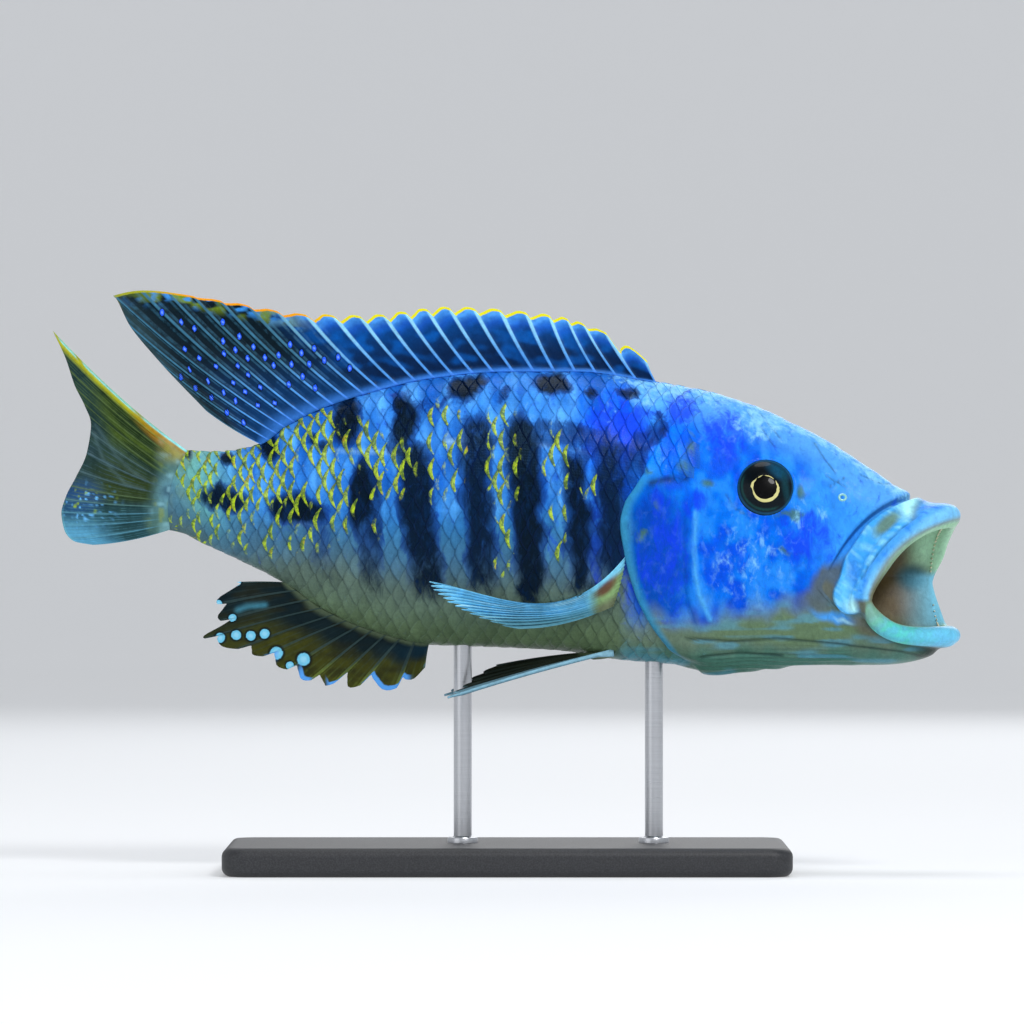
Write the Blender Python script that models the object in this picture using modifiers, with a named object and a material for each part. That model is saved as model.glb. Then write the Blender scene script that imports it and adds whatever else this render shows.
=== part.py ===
"""Life-size still model of a Lake Malawi predatory cichlid, Tyrannochromis nigriventer, on a display stand.

The fish swims along +X and yawns. Lengths are in millimetres above the table and from the stand's middle;
the meshes are made in metres. One surface, worked out from the outlines and the mouth's rim, carries
every node of flesh, so that each fin, lip, gill cover and eye sits on the body that it grows from.
"""

import math

import bpy
import numpy as np
from mathutils import Matrix, Vector

MM = 0.001
GAP = 0.3                  # clearance between two pieces that touch

# Outlines of the body, as (place along X, value)
BACK_LINE = ((-94.5, 117.2), (-79.0, 116.2), (-68.0, 118.2), (-61.0, 123.2), (-50.7, 128.3), (-39.0, 132.2),
             (-21.0, 136.5), (0.0, 138.4), (20.0, 138.4), (40.0, 135.7), (54.0, 133.3), (68.0, 129.2), (82.0, 122.8))
BELLY_LINE = ((-94.5, 93.8), (-79.0, 88.9), (-61.0, 79.9), (-50.7, 72.8), (-39.0, 67.5), (-21.0, 63.0),
              (0.0, 62.2), (14.0, 61.5), (32.0, 58.8), (46.0, 57.6), (58.0, 55.0), (68.0, 55.6), (82.0, 57.2))
HALF_WIDTH = ((-94.5, 2.6), (-79.0, 4.8), (-61.0, 8.2), (-39.0, 12.2), (-12.0, 15.8), (14.0, 17.8),
              (36.0, 18.6), (54.0, 18.8), (68.0, 18.0), (82.0, 16.4))
SIDE_FULLNESS = 1.08       # over 1 is slab-sided, under 1 is barrel-shaped
KEEL_SHARPNESS = 0.17      # the back is this much keener than that, the belly this much rounder

# Bend of the body, seen from above: head and tail both swing to the fish's right
BEND_FROM = 15.0
HEAD_SWING = 13.0          # at 100 mm ahead of there
TAIL_SWING = 6.0           # at 100 mm behind

# Mouth, drawn on the unbent fish
FACE_FROM = 82.0           # the jaws' surface starts here
UPPER_TIP = (120.8, 97.9)  # x and z of the middle of the upper lip's rim
LOWER_TIP = (121.0, 65.6)
RIGHT_CORNER = (101.8, 75.8)
LEFT_CORNER = (113.0, 81.0)      # the yawn pulls this corner forward and up
GAPE_HALF_WIDTH = 14.0
UPPER_POINTED, LOWER_POINTED = 1.4, 1.0    # 1 is a parabola from above, and more is narrower
CORNER_AROUND = 100.0      # degrees round from the back
RIM_RADIUS = 1.7
LINING_INWARD = 0.3        # how steeply the mouth's lining leaves the rim
UPPER_FACING = (0.93, 0.0, -0.37)
CORNER_FACING = (0.84, 0.54, -0.05)
LOWER_FACING = (0.62, 0.0, 0.78)
THROAT = (76.0, 84.0)
THROAT_HALF = (6.5, 8.5)

# Node boundaries
STALK_FROM, REAR_FROM, FRONT_FROM = -91.0, -45.0, 6.0
AROUND_STEPS = 48

# Gill covers
GILL_EDGE = ((0.0, 42.0), (60.0, 40.5), (74.0, 38.5), (84.0, 34.6), (92.0, 33.4), (104.0, 34.6), (120.0, 37.4),
             (135.0, 41.5), (150.0, 46.5), (165.0, 51.0), (180.0, 53.5))
CHEEK_EDGE = ((60.0, 51.0), (100.0, 51.6), (120.0, 53.0), (140.0, 57.5), (166.0, 66.0))
COVER_AROUND = (70.0, 160.0)
COVER_THICKNESS = 1.3

# Jaws: how far forward on the face each starts, in the middle and at its ends, and how deep it is let in
UPPER_START, UPPER_END_START, UPPER_INSET = 0.76, 0.40, 1.5
LOWER_START, LOWER_END_START, LOWER_INSET = 0.30, 0.60, 0.9

# Eyes and nostrils, as (x, z) on the fish's right side
NOSTRIL_AT = (92.3, 103.5)
NOSTRIL_RADIUS = 1.2
EYE_AT = (71.0, 106.6)
EYE_RADIUS = 8.1
EYE_DEPTH = 5.0
EYE_SUNK = 2.6

# Fins
DORSAL_RAYS, ANAL_RAYS, CAUDAL_RAYS, PECTORAL_RAYS, PELVIC_RAYS = 25, 12, 15, 9, 6
MEMBRANE_HALF = 0.3
RAY_HALF = 0.75
SHEATH_HALF = 1.3
RIDGE_REACH = 0.3          # a ray's ridge reaches this far towards the next ray

# Stand
PLATE = (156.0, 84.0, 8.0)
PLATE_ROUNDING = 2.5
ROD_RADIUS = 2.5
ROD_PLACES = {"stand_rod_front": 41.0, "stand_rod_rear": -12.0}
ROD_IN_BELLY, ROD_IN_PLATE = 6.0, 5.0
FISH_SHIFT = -0.37         # along X, so that the whole model is centred over the plate


def curve_through(points):
    """Monotone cubic through (place, value) points: it is smooth and never swings past a value."""
    place, value = np.array(points, float).T
    step = np.diff(place)
    slope = np.diff(value) / step
    tangent = np.zeros(len(place))
    for i in range(1, len(place) - 1):
        if slope[i - 1] * slope[i] > 0:
            before, after = 2 * step[i] + step[i - 1], step[i] + 2 * step[i - 1]
            tangent[i] = (before + after) / (before / slope[i - 1] + after / slope[i])
    tangent[0], tangent[-1] = slope[0], slope[-1]

    def at(x):
        x = np.clip(np.asarray(x, float), place[0], place[-1])
        i = np.clip(np.searchsorted(place, x, side="right") - 1, 0, len(step) - 1)
        t = (x - place[i]) / step[i]
        rising = t * t * (3 - 2 * t)
        return (value[i] * (1 - rising) + value[i + 1] * rising
                + step[i] * (t * (1 - t) ** 2 * tangent[i] - t * t * (1 - t) * tangent[i + 1]))

    return at


def ease(low, high, x):
    t = np.clip((np.asarray(x, float) - low) / (high - low), 0, 1)
    return t * t * (3 - 2 * t)


def unit(vectors):
    return vectors / np.linalg.norm(vectors, axis=-1, keepdims=True)


back_line, belly_line, half_width = (curve_through(p) for p in (BACK_LINE, BELLY_LINE, HALF_WIDTH))
gill_edge, cheek_edge = curve_through(GILL_EDGE), curve_through(CHEEK_EDGE)


def bent(points):
    """The unbent fish's points after the head and tail swing to the right."""
    points = np.asarray(points, float)
    ahead = points[..., 0] - BEND_FROM
    swing = np.where(ahead > 0, HEAD_SWING, TAIL_SWING) / 100.0 ** 2
    turn = np.arctan(-2 * swing * ahead)
    return np.stack([points[..., 0] - points[..., 1] * np.sin(turn) + FISH_SHIFT,
                     points[..., 1] * np.cos(turn) - swing * ahead ** 2,
                     points[..., 2]], axis=-1)


def section(x, around):
    """A point of the body: around is 0 on the back, 90 on the right side and 180 under the belly."""
    rise, side = np.cos(np.radians(around)), np.sin(np.radians(around))
    back, belly = back_line(x), belly_line(x)
    fullness = SIDE_FULLNESS + KEEL_SHARPNESS * rise
    return np.stack([x + 0 * rise, -half_width(x) * np.sign(side) * np.abs(side) ** fullness,
                     (back + belly) / 2 + (back - belly) / 2 * rise], axis=-1)


def rim_parts(around):
    """The mouth's rim: its upper or lower share, how far round to the corner, and which side it is on."""
    around = around % 360
    left = around > 180
    from_back = np.where(left, 360 - around, around)
    upper = from_back <= CORNER_AROUND
    share = np.where(upper, from_back / CORNER_AROUND, (180 - from_back) / (180 - CORNER_AROUND))
    return left, upper, share


def rim_centre(around):
    """Two parabolic arches, the upper and the lower lip, that meet at the mouth's corners."""
    left, upper, share = rim_parts(around)
    turn = np.radians(90 * share)
    corner_x = np.where(left, LEFT_CORNER[0], RIGHT_CORNER[0])
    corner_z = np.where(left, LEFT_CORNER[1], RIGHT_CORNER[1])
    tip_x, tip_z = np.where(upper, UPPER_TIP[0], LOWER_TIP[0]), np.where(upper, UPPER_TIP[1], LOWER_TIP[1])
    pointed = np.where(upper, UPPER_POINTED, LOWER_POINTED)
    drop = np.where(upper, 0.72 * np.sin(turn) ** 3.5 + 0.28 * share ** 2,
                    0.60 * np.sin(turn) ** 8 + 0.40 * share ** 4)
    return np.stack([corner_x + (tip_x - corner_x) * np.cos(turn) ** (2 * pointed),
                     np.where(left, 1, -1) * GAPE_HALF_WIDTH * np.sin(turn),
                     tip_z + (corner_z - tip_z) * drop], axis=-1)


def rim_frame(around):
    """Rim centre, the way the rim faces, and the way out of the mouth across it."""
    left, upper, share = rim_parts(around)
    weight = (np.sin(np.radians(90 * share)) ** 2)[..., None]
    tip_facing = np.where(upper[..., None], UPPER_FACING, LOWER_FACING)
    side = np.stack([np.ones_like(share), np.where(left, 1.0, -1.0), np.ones_like(share)], axis=-1)
    facing = unit(tip_facing * (1 - weight) + np.array(CORNER_FACING) * side * weight)
    along = rim_centre(around + 1.0) - rim_centre(around - 1.0)
    centre = rim_centre(around)
    return centre, facing, unit(np.cross(along, facing))


def hermite(start, start_way, end, end_way, t):
    t = t[..., None]
    reach = np.linalg.norm(end - start, axis=-1, keepdims=True)
    rising = t * t * (3 - 2 * t)
    return (start * (1 - rising) + end * rising
            + reach * (t * (1 - t) ** 2 * start_way - t * t * (1 - t) * end_way))


def form(run, around):
    """The outer form. run is under 0 on the body, in mm behind the face; 0 to 1 over the jaws, 1 to 2 round the rim
    of the mouth and 2 to 3 down its lining to the throat."""
    run, around = np.broadcast_arrays(np.asarray(run, float), np.asarray(around, float) % 360)
    face_start = section(np.full(run.shape, FACE_FROM), around)
    face_way = unit(face_start - section(np.full(run.shape, FACE_FROM - 1.0), around))
    centre, facing, out = rim_frame(around)
    face = hermite(face_start, face_way, centre + RIM_RADIUS * out, facing, np.clip(run, 0, 1))
    roll = np.radians(180 * np.clip(run - 1, 0, 1))[..., None]
    rim = centre + RIM_RADIUS * (out * np.cos(roll) + facing * np.sin(roll))
    turn = np.radians(around)
    throat = np.stack([THROAT[0] + 0 * turn, -THROAT_HALF[0] * np.sin(turn),
                       THROAT[1] + THROAT_HALF[1] * np.cos(turn)], axis=-1)
    inward = unit(-facing - LINING_INWARD * out)
    lining = hermite(centre - RIM_RADIUS * out, inward, throat, np.array((-1.0, 0, 0)), np.clip(run - 2, 0, 1))
    body = section(FACE_FROM + np.minimum(run, 0), around)
    which = run[..., None]
    return np.where(which < 0, body, np.where(which < 1, face, np.where(which < 2, rim, lining)))


def outward(run, around):
    along = form(run + 0.01, around) - form(run - 0.01, around)
    across = form(run, around + 0.5) - form(run, around - 0.5)
    return unit(np.cross(across, along))


def jaw_start(around):
    """Where the jaws start on the face, for every angle round."""
    around = around % 360
    from_back = np.where(around > 180, 360 - around, around)
    upper = UPPER_START + (UPPER_END_START - UPPER_START) * (from_back / CORNER_AROUND) ** 1.5
    lower = LOWER_START + (LOWER_END_START - LOWER_START) * ((180 - from_back) / 70.0) ** 2
    return upper + (lower - upper) * ease(CORNER_AROUND + 4, CORNER_AROUND + 16, from_back)


def inset(run, around):
    """How deep the head's skin lies under the outer form, to make room for the jaws."""
    from_back = np.where(around % 360 > 180, 360 - around % 360, around % 360)
    start = jaw_start(around)
    deep = UPPER_INSET + (LOWER_INSET - UPPER_INSET) * ease(CORNER_AROUND - 20, CORNER_AROUND + 20, from_back)
    return deep * ease(start - 0.05, start, run) * (1 - ease(0.86, 1.0, run))


def surface(run, around):
    """The head's and body's own skin."""
    run, around = np.broadcast_arrays(np.asarray(run, float), np.asarray(around, float) % 360)
    return form(run, around) - outward(run, around) * inset(run, around)[..., None]


def on_right_side(x, z):
    """The run and around of the skin's point that is seen at x and z from the right."""
    run, around = np.meshgrid(np.concatenate([np.linspace(-40, 0, 161), np.linspace(0, 0.9, 91)[1:]]),
                              np.linspace(10, 170, 321), indexing="ij")
    seen = bent(form(run, around))
    nearest = np.argmin((seen[..., 0] - x) ** 2 + (seen[..., 2] - z) ** 2)
    return run.flat[nearest], around.flat[nearest]


def half_width_at(x, z):
    """Distance from the middle plane to the body's side at that place, seen from the side."""
    back, belly = back_line(x), belly_line(x)
    rise = np.clip((z - (back + belly) / 2) / ((back - belly) / 2), -0.999, 0.999)
    return half_width(x) * np.sqrt(1 - rise ** 2) ** (SIDE_FULLNESS + KEEL_SHARPNESS * rise)


def belly_height_at(x, y):
    """Height of the underside at that place, seen from below."""
    across = np.minimum(np.abs(y) / half_width(x), 1) ** (1 / (SIDE_FULLNESS - KEEL_SHARPNESS))
    back, belly = back_line(x), belly_line(x)
    return (back + belly) / 2 - (back - belly) / 2 * np.sqrt(1 - across ** 2)


def material(name, colour, roughness, metallic=0.0):
    made = bpy.data.materials.new(name)
    made.use_nodes = True
    shader = made.node_tree.nodes["Principled BSDF"]
    shader.inputs["Base Color"].default_value = (*colour, 1.0)
    shader.inputs["Roughness"].default_value = roughness
    shader.inputs["Metallic"].default_value = metallic
    return made


def new_object(name, points, faces, finish, collection):
    mesh = bpy.data.meshes.new(name)
    mesh.from_pydata((np.asarray(points) * MM).tolist(), [], faces)
    mesh.update()
    mesh.shade_smooth()
    mesh.materials.append(finish)
    made = bpy.data.objects.new(name, mesh)
    collection.objects.link(made)
    return made


def ring_faces(rows, count):
    """Quads between neighbouring closed rings of count points."""
    return [(r * count + k, r * count + (k + 1) % count, (r + 1) * count + (k + 1) % count, (r + 1) * count + k)
            for r in range(rows - 1) for k in range(count)]


def across_faces(first, count, facing_forward):
    """Closes a ring with strips from its right side to its left side, level by level."""
    half = count // 2
    strips = []
    for k in range(half):
        left, next_left = (count - k) % count, count - k - 1
        corners = [first + k, first + k + 1, first + next_left, first + left]
        corners = list(dict.fromkeys(corners))
        strips.append(tuple(corners) if facing_forward else tuple(reversed(corners)))
    return strips


def body_node(name, start, end, rows, finish, collection):
    """A length of the body between two cross-body boundaries, each a place along X for every angle round."""
    around = np.arange(AROUND_STEPS) * 360.0 / AROUND_STEPS
    from_back = np.where(around > 180, 360 - around, around)
    low, high = start(from_back) + GAP / 2, end(from_back) - GAP / 2
    places = [low + (high - low) * r / (rows - 1) for r in range(rows)]
    points = bent(np.concatenate([section(x, around) for x in places]))
    faces = ring_faces(rows, AROUND_STEPS) + across_faces(0, AROUND_STEPS, False)
    faces += across_faces((rows - 1) * AROUND_STEPS, AROUND_STEPS, True)
    return new_object(name, points, faces, finish, collection)


def head_node(name, finish, collection):
    """The head: skin from the gill opening to the lips, and on round the rim into the mouth to its blind end."""
    around = np.arange(AROUND_STEPS) * 360.0 / AROUND_STEPS
    from_back = np.where(around > 180, 360 - around, around)
    low = gill_edge(from_back) + GAP / 2 - FACE_FROM
    body_rows = [low * (1 - r / 9) for r in range(9)]
    start = jaw_start(around)
    face_rows = [(start - 0.05) * r / 5 for r in range(6)] + [start] + [start + (0.83 - start) / 2]
    face_rows += [np.full(AROUND_STEPS, r) for r in (0.83, 0.92, 1.0, 1.25, 1.5, 1.75)]
    rows = body_rows + face_rows + [np.full(AROUND_STEPS, 2 + r / 7) for r in range(8)]
    points = np.concatenate([surface(r, around) for r in rows])
    points = np.concatenate([points, [[THROAT[0] - 4.0, 0.0, THROAT[1]]], ])
    last = (len(rows) - 1) * AROUND_STEPS
    tip = len(points) - 1
    faces = ring_faces(len(rows), AROUND_STEPS) + across_faces(0, AROUND_STEPS, False)
    faces += [(last + k, last + (k + 1) % AROUND_STEPS, tip) for k in range(AROUND_STEPS)]
    return new_object(name, bent(points), faces, finish, collection)


def plate_of(name, inner, outer, finish, collection):
    """A closed plate between two like grids of points, both split into triangles the same way."""
    rows, columns = inner.shape[:2]
    count = rows * columns
    faces = []
    for r in range(rows - 1):
        for c in range(columns - 1):
            a, b, d, e = r * columns + c, r * columns + c + 1, (r + 1) * columns + c + 1, (r + 1) * columns + c
            split = ((a, b, d), (a, d, e))
            faces += [tuple(reversed(t)) for t in split]
            faces += [tuple(i + count for i in t) for t in split]
    border = ([(0, c) for c in range(columns)] + [(r, columns - 1) for r in range(1, rows)]
              + [(rows - 1, c) for c in range(columns - 2, -1, -1)] + [(r, 0) for r in range(rows - 2, 0, -1)])
    loop = [r * columns + c for r, c in border]
    for here, following in zip(loop, loop[1:] + loop[:1]):
        faces += [(here, following, following + count), (here, following + count, here + count)]
    points = np.concatenate([inner.reshape(-1, 3), outer.reshape(-1, 3)])
    made = new_object(name, points, faces, finish, collection)
    if mesh_volume(made.data) < 0:
        made.data.flip_normals()
    return made


def mesh_volume(mesh):
    points = np.array([v.co for v in mesh.vertices])
    return sum(np.dot(points[p.vertices[0]], np.cross(points[p.vertices[1]], points[p.vertices[2]]))
               for p in mesh.polygons)


def patch_node(name, run, around, gap, thickness, finish, collection):
    """A raised plate over the skin, such as a lip: run, around, gap and thickness are like grids."""
    out = outward(run, around)
    inner = surface(run, around) + out * gap[..., None]
    outer = inner + out * thickness[..., None]
    return plate_of(name, bent(inner), bent(outer), finish, collection)


def jaw(name, side, around, roll_at, roll_half, thickness, roll_height, finish, collection):
    """A jaw: a band from its edge on the face to just inside the mouth, whose lip is a roll along the rim."""
    start = jaw_start(around[0])
    run = np.stack([start, start * 0.6 + 0.33, start * 0.25 + 0.62, 0.83 + 0 * start, 0.92 + 0 * start]
                   + [r + 0 * start for r in (1.0, 1.2, 1.4, 1.62, 1.85)])
    edge = ease(0, 0.12, run - start) * ease(0, 0.3, 1.9 - run) * ease(0, 0.08, 1 - np.abs(side))
    roll = np.exp(-((run - roll_at) / roll_half) ** 2)
    thick = 0.5 + (thickness - 0.5 + roll_height * roll) * edge
    gap = GAP * (1 + 1.2 * ease(0.8, 1.0, np.abs(side))) + 0 * run
    return patch_node(name, run, around, gap, thick, finish, collection)


def upper_jaw(finish, collection):
    """Premaxilla and maxilla, which slide out from under the snout's skin and end in a lobe at each corner."""
    side = np.linspace(-1, 1, 31)
    reach = CORNER_AROUND + 1.0 + 8.0 * (1 - ease(3, 6, np.arange(10)))
    return jaw("upper_jaw", side, side * reach[:, None], 1.25, 0.35, 1.5, 0.8, finish, collection)


def lower_jaw(finish, collection):
    """Mandible with its lip, from one corner of the mouth round the chin to the other."""
    side = np.linspace(-1, 1, 25)
    reach = 173 - CORNER_AROUND - 11.0 * (1 - ease(2, 5, np.arange(10)))
    return jaw("lower_jaw", side, 180 + side * reach[:, None], 1.2, 0.4, 0.9, 1.3, finish, collection)


def gill_cover(name, side, finish, collection):
    """The gill cover: a thin plate that thickens towards its free rear edge, over the head and trunk."""
    low, high = COVER_AROUND
    around = np.linspace(low, high, 13)[None, :]
    across = np.linspace(0, 1, 7)[:, None]
    rear, front = gill_edge(around) - 1.2, cheek_edge(around)
    closing = 1 - ease(0.72, 1.0, np.abs(np.linspace(-1, 1, 13)))[None, :] * 0.55
    rear = front + (rear - front) * closing
    run = front + (rear - front) * across - FACE_FROM
    thickness = (0.5 + (COVER_THICKNESS - 0.5) * across) + 0 * around
    around = around if side < 0 else 360 - around
    return patch_node(name, run, around, GAP + 0 * run, thickness, finish, collection)


def set_on_side(place, side, sunk):
    """A point sunk under the skin at that place, and the way out; place is (x, z) on the right side."""
    run, around = on_right_side(*place)
    around = around if side < 0 else 360 - around
    there = form(run, around)
    there, ahead = bent(there), bent(there + outward(run, around))
    look = Vector(ahead - there).normalized()
    return Vector(there) - look * sunk, look


def ellipsoid(name, centre, look, radius, depth, segments, collection):
    bpy.ops.mesh.primitive_uv_sphere_add(segments=segments, ring_count=segments // 2, radius=1.0)
    made = bpy.context.object
    made.name = made.data.name = name
    turn = look.to_track_quat("Z", "Y").to_matrix().to_4x4()
    size = Matrix.Diagonal((radius * MM, radius * MM, depth * MM, 1.0))
    made.data.transform(Matrix.Translation(centre * MM) @ turn @ size)
    move_to(made, collection)
    made.data.shade_smooth()
    return made


def move_to(made, collection):
    for home in list(made.users_collection):
        home.objects.unlink(made)
    collection.objects.link(made)


def cut(node, cutter):
    """Takes the cutter's shape out of the node."""
    cutter.hide_render = True
    cutter.display_type = "WIRE"
    boolean = node.modifiers.new("cut_" + cutter.name, "BOOLEAN")
    boolean.operation = "DIFFERENCE"
    boolean.solver = "EXACT"
    boolean.object = cutter


def ray_columns(rays):
    """Places across a fin: each ray, and the foot of its ridge on both sides."""
    columns = []
    for ray in range(rays - 1):
        columns += [ray, ray + RIDGE_REACH, ray + 1 - RIDGE_REACH]
    return np.array(columns + [rays - 1.0])


def ridge(columns):
    return np.clip(1 - np.abs(columns - np.round(columns)) / RIDGE_REACH, 0, 1)


def fin_thickness(columns, along, foot_half, taper=0.45):
    """Half the thickness of a fin: rays are ridges that thin out towards the tips, over a thick foot."""
    ray = ridge(columns)[:, None]
    thin_out = 1 - taper * along[None, :]
    half = MEMBRANE_HALF + (RAY_HALF - MEMBRANE_HALF) * ray * thin_out
    half = half * (1 - 0.25 * ease(0.85, 1.0, along)[None, :])
    foot = foot_half * (1 - ease(0.0, 0.14, along))[None, :]
    return np.maximum(half, foot)


def scallop(columns, depth):
    """How far the membrane's edge falls short of the line from ray tip to ray tip, behind each ray."""
    return depth * np.sin(math.pi * (columns - np.floor(columns))) ** 2


def median_fin(name, columns, base, tip, along, foot_half, bow, sway, finish, collection):
    """A fin in the middle plane. base and tip hold the (x, z) of each column, bow bends the rays in that plane
    and sway is how far each point stands to the left of it."""
    t = along[None, :, None]
    line = base[:, None, :] * (1 - t) + tip[:, None, :] * t
    span = (tip - base)[:, None, :]
    normal = np.concatenate([-span[..., 1:], span[..., :1]], axis=-1)
    line = line + normal * bow * (t * (1 - t))
    half = fin_thickness(columns, along, foot_half)
    right = np.stack([line[..., 0], sway - half, line[..., 1]], axis=-1)
    left = np.stack([line[..., 0], sway + half, line[..., 1]], axis=-1)
    return plate_of(name, bent(right), bent(left), finish, collection)


def dorsal_fin(finish, collection):
    """Sixteen spines, then soft rays that fan back into a long point over the tail stalk."""
    columns = ray_columns(DORSAL_RAYS)
    s = columns / (DORSAL_RAYS - 1)
    base_x = curve_through(((0, 41.6), (0.62, -38.8), (0.83, -58.5), (1, -67.9)))(s)
    tip_x = curve_through(((0, 39.0), (0.04, 28.0), (0.17, 11.6), (0.33, -15.2), (0.5, -40.5), (0.58, -54.9),
                           (0.71, -79.3), (0.83, -100.1), (0.875, -108.4)))(s)
    tip_x = np.where(s > 0.875, curve_through(((0.875, -108.4), (0.917, -103.8), (0.958, -95.2), (1, -83.0)))(s), tip_x)
    tip_z = curve_through(((0, 141.6), (0.04, 149.2), (0.17, 154.2), (0.33, 156.2), (0.5, 153.8), (0.58, 154.2),
                           (0.71, 158.2), (0.83, 160.9), (0.875, 159.4), (0.917, 151.0), (0.958, 140.5), (1, 127.6)))(s)
    base = np.stack([base_x, back_line(base_x) + 1.4 * GAP], axis=-1)
    tip = np.stack([tip_x, tip_z], axis=-1)
    depth = np.where(columns < 1, 0.30, np.where(s < 0.62, 0.08, 0.02 * (s < 0.83)))
    tip = tip - (tip - base) * scallop(columns, depth)[:, None]
    along = np.array([0, 0.14, 0.42, 0.75, 1.0])
    sway = 1.6 * np.sin(3.2 * s * math.pi)[:, None] * (along ** 1.5)[None, :]
    return median_fin("dorsal_fin", columns, base, tip, along, SHEATH_HALF, 0.10, sway, finish, collection)


def anal_fin(finish, collection):
    """Three spines and nine soft rays, drawn out to a point at the ninth."""
    columns = ray_columns(ANAL_RAYS)
    s = columns / (ANAL_RAYS - 1)
    base_x = curve_through(((0, -21.4), (0.3, -34.5), (1, -61.6)))(s)
    tip_x = curve_through(((0, -22.4), (0.09, -30.2), (0.18, -40.3), (0.36, -53.8), (0.55, -67.6), (0.64, -74.3),
                           (0.727, -83.2), (0.82, -78.9), (0.91, -79.8), (1, -74.6)))(s)
    tip_z = curve_through(((0, 56.6), (0.09, 50.9), (0.18, 51.6), (0.36, 53.0), (0.55, 59.8), (0.64, 61.8),
                           (0.727, 64.6), (0.82, 69.6), (0.91, 74.2), (1, 80.3)))(s)
    base = np.stack([base_x, belly_line(base_x) - GAP], axis=-1)
    tip = np.stack([tip_x, tip_z], axis=-1)
    depth = np.where(s < 0.3, 0.22, 0.10)
    tip = tip - (tip - base) * scallop(columns, depth)[:, None]
    along = np.array([0, 0.14, 0.42, 0.75, 1.0])
    sway = -1.2 * np.sin(2.2 * s * math.pi)[:, None] * (along ** 1.5)[None, :]
    return median_fin("anal_fin", columns, base, tip, along, SHEATH_HALF, -0.05, sway, finish, collection)


def stalk_end(from_back):
    """The rear boundary of the tail stalk: a shallow arc that the tail fin's rays grow from."""
    return STALK_FROM - 2.6 * np.sin(np.radians(from_back)) ** 2 + 2.4 * np.cos(np.radians(from_back))


def caudal_fin(finish, collection):
    """The tail fin: a long pointed upper lobe, and a lower lobe that curls to the right."""
    columns = ray_columns(CAUDAL_RAYS)
    s = columns / (CAUDAL_RAYS - 1)
    from_back = np.degrees(np.arccos(np.clip(1 - 2 * s, -1, 1)))
    base_x = stalk_end(from_back) - GAP / 2
    back, belly = back_line(base_x), belly_line(base_x)
    base_z = (back + belly) / 2 + (back - belly) / 2 * (1 - 2 * s) * 0.985
    tip_x = curve_through(((0, -125.0), (0.1, -121.5), (0.2, -119.0), (0.3, -116.3), (0.4, -114.6), (0.5, -115.9),
                           (0.6, -119.2), (0.7, -122.2), (0.8, -123.8), (0.88, -123.3), (0.95, -120.6),
                           (1, -115.5)))(s)
    tip_z = curve_through(((0, 148.6), (0.1, 141.5), (0.2, 134.5), (0.3, 129.0), (0.4, 123.8), (0.5, 116.0),
                           (0.6, 109.2), (0.7, 104.0), (0.8, 99.0), (0.88, 95.0), (0.95, 91.6), (1, 90.6)))(s)
    base = np.stack([base_x, base_z], axis=-1)
    tip = np.stack([tip_x, tip_z], axis=-1)
    along = np.array([0, 0.12, 0.32, 0.55, 0.78, 1.0])
    curl = -13.0 * (ease(0.35, 1.0, s)[:, None] * (along ** 1.6)[None, :])
    t = along[None, :, None]
    line = base[:, None, :] * (1 - t) + tip[:, None, :] * t
    droop = (2.6 * (1 - s) ** 2 - 1.5 * s ** 2)[:, None] * (along * (1 - along))[None, :] * 2.2
    line[..., 1] -= droop
    half = fin_thickness(columns, along, 0.0)
    stalk_half = half_width(base_x) * np.sqrt(np.clip(1 - (1 - 2 * s) ** 2, 0.02, 1)) * 0.92
    root = stalk_half[:, None] * (1 - ease(0, 0.34, along))[None, :]
    half = np.maximum(half, root)
    right = np.stack([line[..., 0], curl - half, line[..., 1]], axis=-1)
    left = np.stack([line[..., 0], curl + half, line[..., 1]], axis=-1)
    return plate_of("caudal_fin", bent(right), bent(left), finish, collection)


def pectoral_fin(name, side, finish, collection):
    """A half-folded fan on a fleshy pad behind the gill cover; it swings out from the flank."""
    columns = ray_columns(PECTORAL_RAYS)
    s = (columns / (PECTORAL_RAYS - 1))[:, None]
    along = np.array([0, 0.09, 0.2, 0.42, 0.7, 1.0])[None, :]
    root_x, root_z = 30.2 - 2.0 * s, 83.6 - 10.8 * s
    tip_x = -22.0 + 6.0 * s + 17.5 * s ** 2.2
    tip_z = 80.6 - 13.0 * s
    x = root_x * (1 - along) + tip_x * along
    sag = 6.0 + (41.0 - 35.0 * along) * (1 - s) ** 1.2  # the upper rays drop most, close to the root
    z = root_z * (1 - along) + tip_z * along - sag * along * (1 - along)
    pad = 1 - ease(0.04, 0.2, along)
    half = np.maximum(fin_thickness(columns, along[0], 0.0, 0.4) * 0.85, 1.3 * pad)
    lift = (9.0 + 9.0 * s) * ease(0.02, 1.0, along) * (0.35 + 0.65 * along)
    rest = half_width_at(x, z) * (1 - along * 0.15) + GAP
    inner = rest + lift
    outer = inner + 2 * half
    faces = [bent(np.stack([x, side * y, z], axis=-1)) for y in (inner, outer)]
    return plate_of(name, faces[0], faces[1], finish, collection)


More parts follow.
